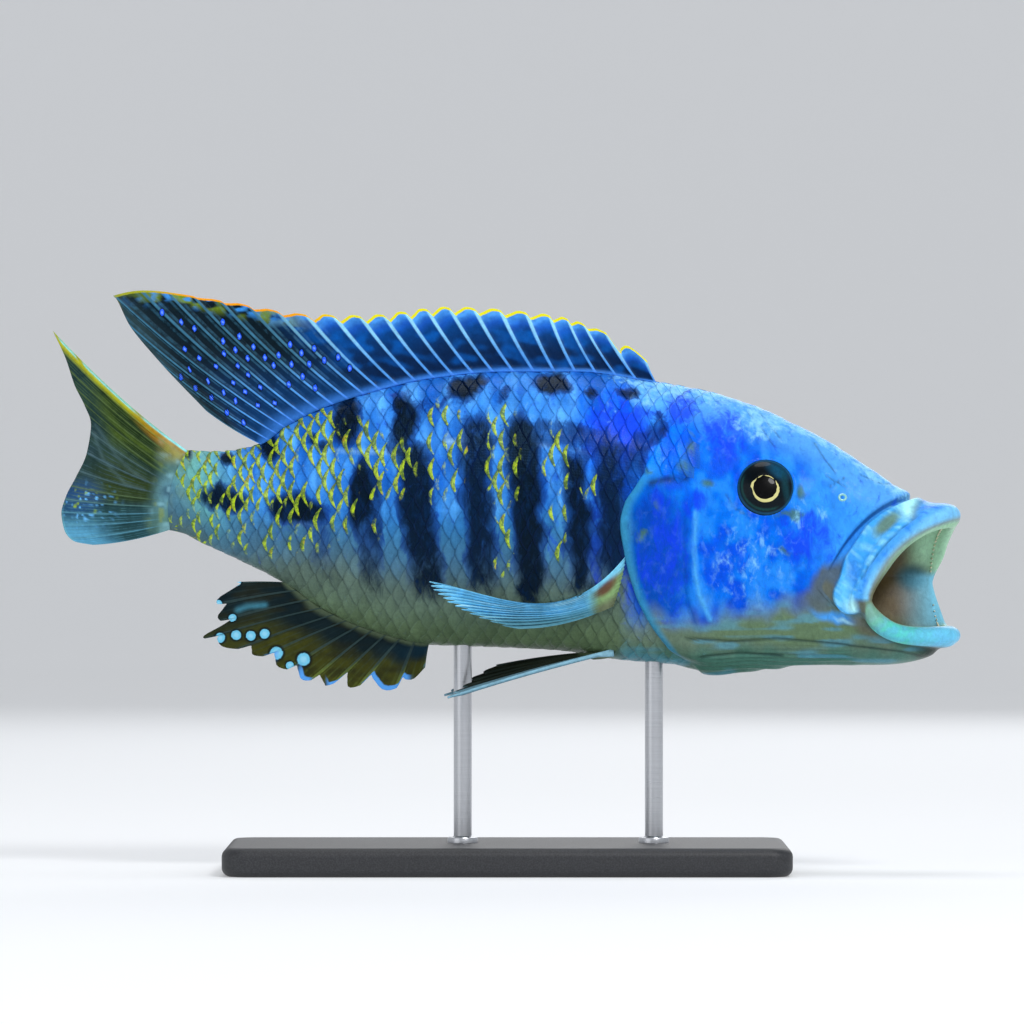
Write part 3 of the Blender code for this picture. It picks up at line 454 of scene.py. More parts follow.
def jawPaint(colour, run, around):
    # the jaws, the rim and the lining of the mouth, by place on the form
    fromBack, start = fromBackOf(around), jawStart(around)
    u, v = sidePixels(run, around)
    t = (run - start) / (1 - start)
    share, disc = plateShare(u, v, t, fromBack)
    upper = share * ease(0, 0.03, run - start)
    lipFrom = 0.87 + 0.3 * fade(103, 122, fromBack)
    lower = ease(99, 105, fromBack) * ease(0, 0.08, run - lipFrom) * (1 - 0.9 * disc)
    corner = (1 - share) * ease(96, 102, fromBack) * fade(108, 116, fromBack) * ease(0, 0.05, run - start)
    corner = corner * fade(1.15, 1.25, run)
    colour = coated(
        colour,
        (102, 106, 90), corner * 0.85,
        # painted shade along the edge of the jaw plate and its lobe
        (20, 48, 84), 1.7 * share * (1 - share) * ease(60, 80, fromBack) * fade(0.74, 0.86, t))
    streak = 0.6 * cloud(around, run * 40, 2.2, 5, 21) + 0.4 * cloud(around, run * 40, 6, 3, 23)
    plate = coated(
        (84, 172, 246),
        (140, 216, 252), ease(0.35, 0.85, streak),
        # painted highlight on the plate's top
        (188, 252, 252), blot(u, v, (908, 508, 10, 12), 0.6) * 0.9,
        (104, 132, 104), blot(u, v, (884, 524, 16, 7), 0.5, -42) * 0.9,
        # painted highlights on the lobe, at its tip and over it
        (190, 250, 252), blot(u, v, (854, 604, 9, 6), 0.8) * 0.95,
        (120, 206, 252), blot(u, v, (843, 590, 9, 14), 0.7) * 0.6,
        (74, 132, 226), blot(u, v, (850, 572, 6, 16), 0.7) * 0.6)
    past = run - grooveAt(np.minimum(fromBack, 100))
    # painted shade in the groove between plate and lip
    plate = lay(plate, tone(34, 84, 140), bell(past, 0.035) * 0.7 * (1 - disc))
    lip = coated(
        (92, 170, 244),
        (64, 134, 236), ease(0.4, 0.9, streak),
        # lighter away from the groove: painted highlight on the lip's roll, painted shade near the groove
        (150, 222, 250), ease(0.1, 0.3, run - grooveAt(np.minimum(fromBack, 100))) * 0.6)
    plate = lay(plate, lip, ease(-0.02, 0.04, past))
    colour = lay(colour, plate, upper)
    chin = coated(
        (104, 196, 214),
        (96, 206, 190), ease(0.3, 0.8, streak),
        (120, 200, 244), ease(900, 935, u) * 0.8,
        (132, 168, 140), fade(112, 130, fromBack) * 0.8)
    colour = coated(
        colour,
        chin, lower,
        # painted shade in the crease below the lower lip
        (40, 70, 62), 0.8 * bell(run - 0.9, 0.035) * ease(112, 124, fromBack),
        (40, 46, 26), blot(u, v, (934, 653, 20, 9), 0.6) * fade(0.98, 1.1, run) * 0.9)

    below = ease(98, 112, fromBack)
    inner = ease(1.34, 1.5, run) * (1 - below) + ease(1.5, 1.7, run) * below
    lining = coated(
        (110, 118, 84),
        (150, 196, 160), ease(0.3, 0.9, 1 - (run - 1.5) * 1.3),
        (98, 84, 60), ease(2.0, 2.3, run) * ease(0.3, 0.8, cloud(around, run * 20, 20, 5, 22)),
        (54, 46, 34), ease(2.35, 2.9, run))
    seenU, seenV = pixelsOf(bent(form(run, around)))
    lining = coated(
        lining,
        (126, 108, 84), blot(seenU, seenV, (893, 600, 26, 22), 0.6) * 0.85,
        (172, 218, 182), blot(seenU, seenV, (932, 544, 22, 28), 0.7) * 0.9,
        (100, 84, 54), blot(seenU, seenV, (884, 576, 36, 12), 0.5, -56) * 0.92,
        (50, 88, 98), blot(seenU, seenV, (913, 577, 15, 12), 0.6) * 0.9)
    colour = lay(colour, lining, inner)
    farLip = (np.asarray(around) % 360 > 180) * ease(1.0, 1.2, run) * fade(1.9, 2.3, run)
    farLip = farLip * ease(80, 96, fromBack)
    colour = lay(colour, tone(128, 200, 232), farLip * fade(130, 150, fromBack) * 0.85)
    seam = bell(run - 1.4, 0.06) * fade(96, 106, fromBack)
    # painted shade where the jaws come out from under the snout's skin
    colour = lay(colour, tone(20, 46, 84), 0.8 * bell(run - start, 0.012) * fade(74, 88, fromBack))
    return lay(colour, tone(128, 112, 52), seam * 0.6)


grooveAt = curveThrough(mouth["groove"])


def plateShare(u, v, t, fromBack):
    # 1 on the upper jaw's plate and lip, and the share of the round lobe over the mouth's corner in which
    # the plate ends: in the side view a band along the plate's axis, bounded behind, joined to a disc
    lobeU, lobeV, radius, soft = mouth["lobe"]
    c, s = mouth["plateAxis"]
    ahead = (u - lobeU) * c - (v - lobeV) * s
    aside = (u - lobeU) * s + (v - lobeV) * c
    disc = fade(radius - soft, radius + soft, np.hypot(ahead, aside))
    band = ease(-soft, soft, ahead) * ease(-soft, soft, aside + radius + 0.5 + 8 * ease(0, 32, ahead))
    band = band * fade(104, 110, fromBack)
    lip = fade(mouth["cornerAround"] - 2, mouth["cornerAround"] + 4, fromBack)
    share = np.maximum(band, disc)
    return share + (lip - share) * ease(0.80, 0.96, t), disc


def pieceLift(run, around):
    # how far the skin stands off the form: snout fold, jaw plates, lips, ridges, orbit and gill membrane
    fromBack, start = fromBackOf(around), jawStart(around)
    u, v = sidePixels(run, around)
    corner = mouth["cornerAround"]
    onFace = ease(0.0, 0.02, run)
    deep = mouth["upperInset"]
    deep = deep + (mouth["lowerInset"] - deep) * ease(corner - 20, corner + 20, fromBack)
    lobe = ease(82, 96, fromBack) * fade(104, 125, fromBack)
    below = ease(corner + 4, corner + 25, fromBack)
    sinking = ease(start - 0.012, start + 0.012, run) * (1 - below) + ease(-0.02, 0.03, run - start) * below
    lift = -deep * (1 - lobe) * sinking * fade(0.86, 1.0, run)
    t = (run - start) / (1 - start)
    share, disc = plateShare(u, v, t, fromBack)
    onPlate = ease(0.018, 0.05, run - start) * fade(1.62, 1.92, run)
    upper = onPlate * share
    past = run - grooveAt(np.minimum(fromBack, 100))
    lip = bell(past - 0.32, 0.3)
    tuck = ease(66, 99, fromBack) * ease(-0.04, 0.10, past)
    plate = (1.75 - 0.45 * lobe * fade(0.7, 0.95, t) + 0.9 * lip) * (1 - 0.85 * tuck)
    plate = plate + 0.45 * disc * (1 - tuck) * blot(u, v, mouth["lobe"][:2] + (15, 15), 0.9)
    plate = plate - 0.75 * bell(past, 0.045) * ease(12, 30, fromBack) * (1 - disc)
    plate = plate + 0.35 * bell(t - 0.3, 0.22) * ease(30, 80, fromBack)
    lift = lift + upper * plate
    lower = ease(-0.02, 0.03, run - start) * fade(1.62, 1.92, run)
    lower = lower * ease(101 + 3 * fade(0.2, 0.6, t), corner + 25, fromBack)
    lift = lift + lower * (0.9 + 1.2 * bell(run - 1.22, 0.3) - 0.8 * bell(run - 0.9, 0.045))
    lift = lift + 0.28 * bell(run - start + 0.035, 0.03) * onFace * fade(110, 125, fromBack)

    onHead = (1 - onFace * ease(0.0, 0.1, run - start))
    lift = lift + onHead * 0.40 * stroke(u, v, marks["preopercle"], 3.0)
    lift = lift - onHead * 0.25 * stroke(u, v, marks["innerLine"], 2.5)
    for line in marks["foldLines"]:
        lift = lift - onHead * 0.32 * stroke(u, v, line, 1.8)
    for line in marks["wrinkles"]:
        lift = lift - onHead * 0.22 * stroke(u, v, line, 1.4)
    eyeU, eyeV, flatness = marks["orbit"]
    eyeAway = np.hypot(u - eyeU, (v - eyeV) * flatness)
    lift = lift + 0.34 * bell(eyeAway - 31.0, 2.4) - 0.06 * bell(eyeAway - 37.5, 4.0)
    lift = lift - 0.5 * blot(u, v, (839, 498, 1.8, 1.6), 0.6)
    cheekBumps = cloud(u, v, 4.5, 9, 31) * blot(u, v, (742, 560, 34, 44), 0.5)
    napeBumps = cloud(u, v, 6, 6, 32) * fade(30, 60, fromBack) * ease(640, 700, u) * fade(860, 900, u)
    lift = lift + onHead * (0.35 * cheekBumps + 0.25 * napeBumps)
    gular = ease(640, 660, v) * ease(690, 730, u) * fade(900, 930, u)
    lift = lift + onHead * gular * 0.22 * np.sin(v * 1.6 + 3 * cloud(u, v, 30, 6, 33))
    membrane = blot(u, v, (708, 676, 20, 12), 0.7)
    lift = lift + onHead * 0.6 * membrane * ease(150, 170, fromBack)
    folds = np.sin(np.radians(around) * 9 + 2.5 * cloud(around, run * 30, 30, 12, 34))
    return lift + 0.35 * folds * ease(2.05, 2.3, run) * fade(2.8, 3.0, run)


def coverRows(around):
    # the gill cover's free edge: the skin dips into the slit and folds back over it. Offsets from the gill
    # edge along the body and lifts off the form, for a plain stretch and for the fold
    fromBack = fromBackOf(around)
    fold = ease(*gill["topFade"], fromBack) * fade(*gill["bottomFade"], fromBack)
    plain = np.array((-1.2, -0.7, -0.2, 0.3, 0.8, 1.3))[:, None]
    folded = np.array((0.2, 0.35, -0.8, -1.15, -0.85, 0.3))[:, None]
    lifts = np.array((-0.2, -0.7, 0.35, 0.85, 1.3, 1.5))[:, None]
    edge = gillEdge(fromBack) - mouth["faceFrom"]
    return edge + plain * (1 - fold) + folded * fold, lifts * fold, fold


def newPiece(name, points, faces, finish, uvs=None, attributes=None):
    # a mesh object from points in millimetres and arrays of quads or triangles, with its maps and paint
    mesh = bpy.data.meshes.new(name)
    corners = np.concatenate([f.ravel() for f in faces])
    totals = np.concatenate([np.full(len(f), f.shape[1]) for f in faces])
    mesh.vertices.add(len(points))
    mesh.vertices.foreach_set("co", (np.asarray(points, np.float64) * mm).astype(np.float32).ravel())
    mesh.loops.add(len(corners))
    mesh.loops.foreach_set("vertex_index", corners.astype(np.int32))
    mesh.polygons.add(len(totals))
    starts = np.concatenate([[0], np.cumsum(totals)[:-1]])
    mesh.polygons.foreach_set("loop_start", starts.astype(np.int32))
    mesh.polygons.foreach_set("loop_total", totals.astype(np.int32))
    mesh.update(calc_edges=True)
    mesh.shade_smooth()
    for label, values in (uvs or {}).items():
        layer = mesh.uv_layers.new(name=label)
        layer.data.foreach_set("uv", values[corners].astype(np.float32).ravel())
    for label, values in (attributes or {}).items():
        kind = "FLOAT_COLOR" if values.ndim == 2 else "FLOAT"
        attribute = mesh.attributes.new(label, kind, "POINT")
        attribute.data.foreach_set("color" if values.ndim == 2 else "value",
                                   values.astype(np.float32).ravel())
    mesh.materials.append(finish)
    made = bpy.data.objects.new(name, mesh)
    bpy.context.scene.collection.objects.link(made)
    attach(made, "root")
    return made


def gridFaces(rows, columns, closed=False, first=0):
    # quads of a grid of rows and columns of points; closed joins the last column to the first
    r = np.arange(rows - 1)[:, None]
    c = np.arange(columns if closed else columns - 1)[None, :]
    following = (c + 1) % columns
    quads = np.stack([r * columns + c, r * columns + following, (r + 1) * columns + following,
                      (r + 1) * columns + c], axis=-1)
    return quads.reshape(-1, 4) + first


def withAlpha(colour, alpha):
    alpha = np.asarray(alpha, float)[..., None]
    shape = np.broadcast_shapes(np.shape(colour), alpha.shape[:-1] + (3,))
    return np.concatenate([np.broadcast_to(colour, shape), np.broadcast_to(alpha, shape[:-1] + (1,))],
                          axis=-1)


# Materials: small helpers that return sockets
class Wire:
    # a node's output, on which + - * ** and abs make maths nodes
    def __init__(self, socket):
        self.socket = socket

    __add__ = lambda self, other: reckon("ADD", self, other)
    __radd__ = lambda self, other: reckon("ADD", other, self)
    __sub__ = lambda self, other: reckon("SUBTRACT", self, other)
    __rsub__ = lambda self, other: reckon("SUBTRACT", other, self)
    __mul__ = lambda self, other: reckon("MULTIPLY", self, other)
    __rmul__ = lambda self, other: reckon("MULTIPLY", other, self)
    __pow__ = lambda self, other: reckon("POWER", self, other)
    __abs__ = lambda self: reckon("ABSOLUTE", self)


def socketOf(value):
    return value.socket if isinstance(value, Wire) else value


def treeOf(*values):
    # the node tree that the first socket among the values belongs to
    return next(socketOf(v).id_data for v in values if isinstance(socketOf(v), bpy.types.NodeSocket))


def plug(place, value):
    # links an output to an input, or sets the input to a constant
    if isinstance(socketOf(value), bpy.types.NodeSocket):
        place.id_data.links.new(socketOf(value), place)
    else:
        place.default_value = value


def nodeOf(tree, kind, props=None, **inputs):
    # a node with its properties and inputs; an input is named, or numbered as i0, i1 and so on
    made = tree.nodes.new(kind)
    for key, value in (props or {}).items():
        setattr(made, key, value)
    for key, value in inputs.items():
        plug(made.inputs[int(key[1:]) if key[0] == "i" and key[1:].isdigit() else key], value)
    return made


def reckon(operation, a, b=0.0, c=0.0):
    return Wire(nodeOf(treeOf(a, b), "ShaderNodeMath", {"operation": operation}, i0=a, i1=b, i2=c).outputs[0])


def between(value, low, high):
    # smooth step from 0 at low to 1 at high
    return Wire(nodeOf(treeOf(value), "ShaderNodeMapRange", {"interpolation_type": "SMOOTHSTEP"}, i0=value,
                       i1=low, i2=high).outputs[0])


def blended(share, under, over, how="MIX"):
    return Wire(nodeOf(treeOf(share, under, over), "ShaderNodeMix", {"data_type": "RGBA", "blend_type": how},
                       i0=share, i6=under, i7=over).outputs[2])


def fixed(red, green, blue):
    return (*tone(red, green, blue), 1.0)


def objectPlace(tree, scale=(1, 1, 1)):
    place = nodeOf(tree, "ShaderNodeTexCoord").outputs["Object"]
    return Wire(nodeOf(tree, "ShaderNodeMapping", i0=place, i3=scale).outputs[0])


def grain(place, scale, detail=4.0, rough=0.6, warp=0.0):
    return Wire(nodeOf(treeOf(place), "ShaderNodeTexNoise", Vector=place, Scale=scale, Detail=detail,
                       Roughness=rough, Distortion=warp).outputs[0])


def painted(tree, label):
    return nodeOf(tree, "ShaderNodeAttribute", {"attribute_name": label})


def factor(tree, label):
    return Wire(painted(tree, label).outputs["Fac"])


def shaded(tree, colour, value, saturation=1.0):
    return Wire(nodeOf(tree, "ShaderNodeHueSaturation", i1=saturation, i2=value, i4=colour).outputs[0])


def bumped(shader, height, distance, strength=1.0):
    plug(shader.inputs["Normal"], nodeOf(shader.id_data, "ShaderNodeBump", Height=height, Distance=distance,
                                         Strength=strength).outputs[0])


def newFinish(name, **values):
    made = bpy.data.materials.new(name)
    made.use_nodes = True
    shader = made.node_tree.nodes["Principled BSDF"]
    for key, value in values.items():
        shader.inputs[key.replace("_", " ")].default_value = value
    return made, made.node_tree, shader


livery = dict(nightBlue=(0, 8, 18), royalBlue=(16, 60, 236), iceBlue=(146, 216, 252), limeEdge=(182, 210, 20),
              amber=(206, 148, 20), raggedness=0.55, patchSize=300.0, streakSize=520.0)


def skinFinish(name, onScales):
    # fish skin: the painted zones, broken up by ragged patches of night blue, royal blue and ice blue; the
    # ice blue is partly pale markings and partly painted highlights
    made, tree, shader = newFinish(name, Coat_Weight=0.03, Coat_Roughness=0.10, Specular_IOR_Level=0.20,
                                   Specular_Tint=(0.22, 0.52, 1.0, 1.0))
    paint = painted(tree, "paint")
    upright = objectPlace(tree, (1.0, 1.0, 0.42))
    place = objectPlace(tree)
    coarse = grain(upright, livery["patchSize"], 6, 0.68, 0.6)
    fine = grain(upright, livery["streakSize"] * 2.2, 4, 0.6)
    patches = (coarse - 0.5) * 1.7
    ragged = (coarse - 0.5) * (livery["raggedness"] * 2.2)
    colour = paint.outputs["Color"]
    cells = grain(objectPlace(tree, (1.0, 1.0, 0.8)), 620.0, 6, 0.72, 0.7)
    value = fine * 0.3 + cells * 0.85 + 0.42
    brush = shaded(tree, colour, value, 1.04)
    deep = factor(tree, "deep") + patches
    brush = blended(between(deep, 0.26, 0.86) * 0.85, brush, fixed(*livery["royalBlue"]))
    swirl = grain(objectPlace(tree, (1.0, 1.0, 0.6)), livery["patchSize"] * 1.4, 5, 0.64, 0.35)
    # ice blue where the pale strength is high: pale markings and painted highlights
    paleAndHighlight = factor(tree, "paleAndHighlight") + (swirl - 0.5) * 1.9
    brush = blended(between(paleAndHighlight, 0.42, 1.0) * 0.8, brush, fixed(*livery["iceBlue"]))
    dark = factor(tree, "dark") + ragged
    fringe = between(dark, 0.14, 0.4) * (Wire(paint.outputs["Alpha"]) * 0.7)
    brush = blended(fringe, brush, fixed(10, 46, 128))
    night = blended(between(coarse, 0.45, 0.75) * 0.3, fixed(*livery["nightBlue"]), fixed(14, 60, 120))
    brush = blended(between(dark, 0.26, 0.9), brush, night)
    if not onScales:
        shifts = nodeOf(tree, "ShaderNodeTexNoise", Vector=place, Scale=330.0, Detail=3.0).outputs["Color"]
        warped = Wire(nodeOf(tree, "ShaderNodeVectorMath", {"operation": "MULTIPLY_ADD"}, i0=shifts,
                             i1=(0.004, 0.004, 0.004), i2=objectPlace(tree, (1.0, 1.0, 0.72))).outputs[0])
        plates = Wire(nodeOf(tree, "ShaderNodeTexVoronoi", {"feature": "F1"}, Vector=warped, Scale=430.0,
                             Randomness=1.0).outputs["Distance"])
        # painted highlights on the edges of the small plates
        platesAndSheen = factor(tree, "platesAndSheen") * between(plates, 0.46, 0.74)
        brush = blended(platesAndSheen * between(swirl, 0.4, 0.66), brush, fixed(140, 210, 252))
        middle = 1.0 - between(plates, 0.05, 0.4)
        middle = middle * factor(tree, "platesAndSheen") * 0.3
        brush = blended(middle, brush, fixed(14, 54, 200))
    bumps = fine * 0.5 + cells * 0.9 + grain(place, 2600.0, 2, 0.5) * 0.4
    if onScales:
        shape = Wire(nodeOf(tree, "ShaderNodeUVMap", {"uv_map": "ScaleShape"}).outputs[0])
        parts = nodeOf(tree, "ShaderNodeSeparateXYZ", i0=shape)
        aside = abs(Wire(parts.outputs[0]) - 0.5) * 2.0
        back = Wire(parts.outputs[1]) - aside * 0.05
        band = between(back, 0.77, 0.86) * (1.0 - between(aside, 0.3, 0.95) * 0.45)
        vary = swirl * 1.1 + cells * 0.9
        lime = factor(tree, "lime") * band * vary
        edging = blended(between(swirl, 0.56, 0.72), fixed(*livery["limeEdge"]), fixed(*livery["amber"]))
        edging = blended(between(cells, 0.62, 0.4), edging, fixed(92, 120, 30))
        edging = shaded(tree, edging, value)
        brush = blended(between(lime, 0.36, 0.6) * 0.92, brush, edging)
        rim = between(Wire(parts.outputs[1]), 0.88, 1.0) * factor(tree, "rim")
        brush = blended(rim * 0.22, brush, fixed(8, 30, 84))
        bow = abs(Wire(parts.outputs[0]) - 0.5) ** 2.0 * -1.1
        arcs = reckon("SINE", (Wire(parts.outputs[1]) + bow) * 95.0)
        fans = reckon("SINE", Wire(parts.outputs[0]) * 60.0)
        bumps = bumps + (arcs + fans) * 0.05
    if not onScales:
        bumps = bumps + plates * (factor(tree, "platesAndSheen") * 0.9)
    plug(shader.inputs["Base Color"], brush)
    plug(shader.inputs["Roughness"], coarse * 0.22 + 0.24)
    bumped(shader, bumps, 0.00016, 0.8)
    return made


# The skin, one closed surface from the tail stalk to the throat
skinSettings = dict(around=336, trunkRows=84, coverRows=60, snoutRows=40, jawRows=32, rimRows=20,
                    liningRows=30)


def stalkEnd(fromBack):
    # a shallow arc that the tail fin's rays grow from
    return fish["stalkFrom"] - 2.6 * np.sin(np.radians(fromBack)) ** 2 + 2.4 * np.cos(np.radians(fromBack))


def makeSkin(finish):
    # rows of constant run, columns of constant angle; each point is the form plus its normal times the lift
    count = skinSettings["around"]
    around = np.arange(count) * 360.0 / count
    fromBack = fromBackOf(around)
    slitRuns, slitLifts, fold = coverRows(around)
    tail = stalkEnd(fromBack) - mouth["faceFrom"]
    start = jawStart(around)
    spread = lambda a, b, n: a + (b - a) * (np.arange(n) / n)[:, None]
    under = tail - np.array((2.6, 1.3, 0.5))[:, None]
    trunk = np.concatenate([under, spread(tail, slitRuns[0], skinSettings["trunkRows"])])
    cover = spread(slitRuns[-1], 0 * start, skinSettings["coverRows"])[1:]
    snout = spread(0 * start, start - 0.03, skinSettings["snoutRows"])
    step = start + np.array((-0.03, -0.014, -0.004, 0.006, 0.016, 0.03, 0.045))[:, None]
    jaws = spread(start + 0.06, 1 + 0 * start, skinSettings["jawRows"])
    rest = np.concatenate([1 + np.arange(skinSettings["rimRows"]) / skinSettings["rimRows"],
                           np.linspace(2, 3, skinSettings["liningRows"])])[:, None] + 0 * start
    runs = np.concatenate([trunk, slitRuns, cover, snout, step, jaws, rest])
    turns = np.broadcast_to(around, runs.shape)
    lifts = pieceLift(runs, turns)
    lifts[:3] -= np.array((1.3, 0.55, 0.12))[:, None]
    first = len(trunk)
    cheekRuns = cheekEdge(fromBack) - mouth["faceFrom"]
    afterSlit = np.clip((runs - slitRuns[-1]) / (cheekRuns - slitRuns[-1]), 0, 1.25)
    coverLift = fold * (gill["lift"] * fade(0, 1.0, afterSlit) + 0.3 * fade(0.9, 1.25, afterSlit)
                        * ease(0, 0.6, afterSlit))
    lifts[first:first + len(slitRuns)] = slitLifts
    ahead = first + len(slitRuns)
    lifts[ahead:] += np.where(runs[ahead:] < 0.3, coverLift[ahead:], 0)
    points = bent(form(runs, turns) + outward(runs, turns) * lifts[..., None])

    colour, blue, dark, deep, paleAndHighlight, _ = skinPaint(runs, turns)
    colour = jawPaint(colour, runs, turns)
    onJaw = ease(0.0, 0.05, runs - start)
    dark, deep, paleAndHighlight = (a * (1 - onJaw) for a in (dark, deep, paleAndHighlight))
    blue = blue * (1 - onJaw)
    u, v = sidePixels(runs, turns)
    # where the small plates of the cheek, opercle and nape are drawn, with painted highlights on their edges
    platesAndSheen = np.maximum(0.40 * blot(u, v, (748, 556, 42, 46), 0.7), 0.07 * blot(u, v, (655, 560, 30, 66), 0.4))
    platesAndSheen = np.maximum(platesAndSheen, 0.14 * blot(u, v, (700, 425, 70, 34), 0.6)) * (1 - onJaw)
    # painted shade in the gill slit, where the skin dips under the cover's fold
    slitShade = np.zeros(runs.shape)
    slitShade[first:first + 3] = fold * np.array((0.5, 1.0, 0.9))[:, None]
    edge = np.zeros(runs.shape)
    edge[first + 3:first + 8] = fold * np.array((0.9, 1.0, 0.9, 0.6, 0.25))[:, None]
    colour = coated(
        colour,
        (4, 12, 26), slitShade,
        (66, 150, 190), edge * 0.8)
    deep, paleAndHighlight, dark = deep * (1 - edge), paleAndHighlight * (1 - slitShade) * (1 - edge * 0.5), dark * (1 - edge)

    ends = bent(np.array([[fish["stalkFrom"], 0.0, (backLine(fish["stalkFrom"])
                                                    + bellyLine(fish["stalkFrom"])) / 2],
                          [mouth["throat"][0] - 4.0, 0.0, mouth["throat"][1]]]))
    rows = len(runs)
    faces = gridFaces(rows, count, closed=True)
    k = np.arange(count)
    tailCap = np.stack([np.full(count, rows * count), (k + 1) % count, k], axis=-1)
    last = (rows - 1) * count
    throatCap = np.stack([last + k, last + (k + 1) % count, np.full(count, rows * count + 1)], axis=-1)
    flat = lambda a, fill: np.concatenate([a.reshape((-1,) + a.shape[2:]),
                                           np.broadcast_to(fill, (2,) + a.shape[2:])])
    points = np.concatenate([points.reshape(-1, 3), ends])
    made = newPiece("skin", points, [faces, tailCap, throatCap], finish,
                    attributes=dict(paint=flat(withAlpha(colour, blue), 0.02), dark=flat(dark, 0.0),
                                    deep=flat(deep, 0.0), paleAndHighlight=flat(paleAndHighlight, 0.0), platesAndSheen=flat(platesAndSheen, 0.0)))
    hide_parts("head", "gill_cover_right", "gill_cover_left", "upper_jaw", "lower_jaw", "trunk_front",
                "trunk_rear", "tail_stalk")
    return made


# Scales: overlapping plates in staggered rows over the trunk and nape
scaleSettings = dict(
    # by place along the body
    pitch=((-96.0, 3.0), (-80.0, 3.2), (-45.0, 3.9), (35.0, 4.0), (62.0, 3.2)),
    rowHeight=((-96.0, 2.7), (-80.0, 2.9), (-45.0, 3.8), (35.0, 3.9), (62.0, 3.3)),
    reach=1.85,            # a plate's length in pitches
    edgeCurve=0.56, edgePower=1.6,
    root=-0.28, free=0.34, crown=0.12, wall=0.30,
    napeTo=57.0, lengthAt=(0.0, 0.34, 0.58, 0.76, 0.90, 1.0), crossSteps=6, stalkFade=(-96.0, -74.0),
)


def arcTable():
    # for stations along the body, the angle at each share of the way from mid flank to back and belly
    stations = np.linspace(-98, 70, 85)
    shares = np.linspace(-1, 1, 121)
    angles = np.linspace(0, 180, 361)
    outline = section(stations[:, None], angles[None, :])
    steps = np.linalg.norm(np.diff(outline[..., 1:], axis=1), axis=-1)
    length = np.concatenate([np.zeros((len(stations), 1)), np.cumsum(steps, axis=1)], axis=1)
    fromMiddle = length[:, 180:181] - length
    up, down = fromMiddle[:, 0], -fromMiddle[:, -1]
    table = np.stack([np.interp(np.where(shares > 0, shares * u, shares * d), row[::-1], angles[::-1])
                      for row, u, d in zip(fromMiddle, up, down)])
    return stations, shares, table, up, down


def aroundAt(arc, x, s):
    # the angle at x along the body and s millimetres above the flank's middle, read from the table
    stations, shares, table, up, down = arc
    rise, fall = np.interp(x, stations, up), np.interp(x, stations, down)
    share = np.clip(np.where(s > 0, s / rise, s / fall), -0.997, 0.997)
    a = np.clip((x - stations[0]) / (stations[1] - stations[0]), 0, len(stations) - 1.001)
    b = np.clip((share + 1) / (shares[1] - shares[0]), 0, len(shares) - 1.001)
    i, j = a.astype(int), b.astype(int)
    p, q = a - i, b - j
    return (table[i, j] * (1 - p) * (1 - q) + table[i + 1, j] * p * (1 - q)
            + table[i, j + 1] * (1 - p) * q + table[i + 1, j + 1] * p * q)


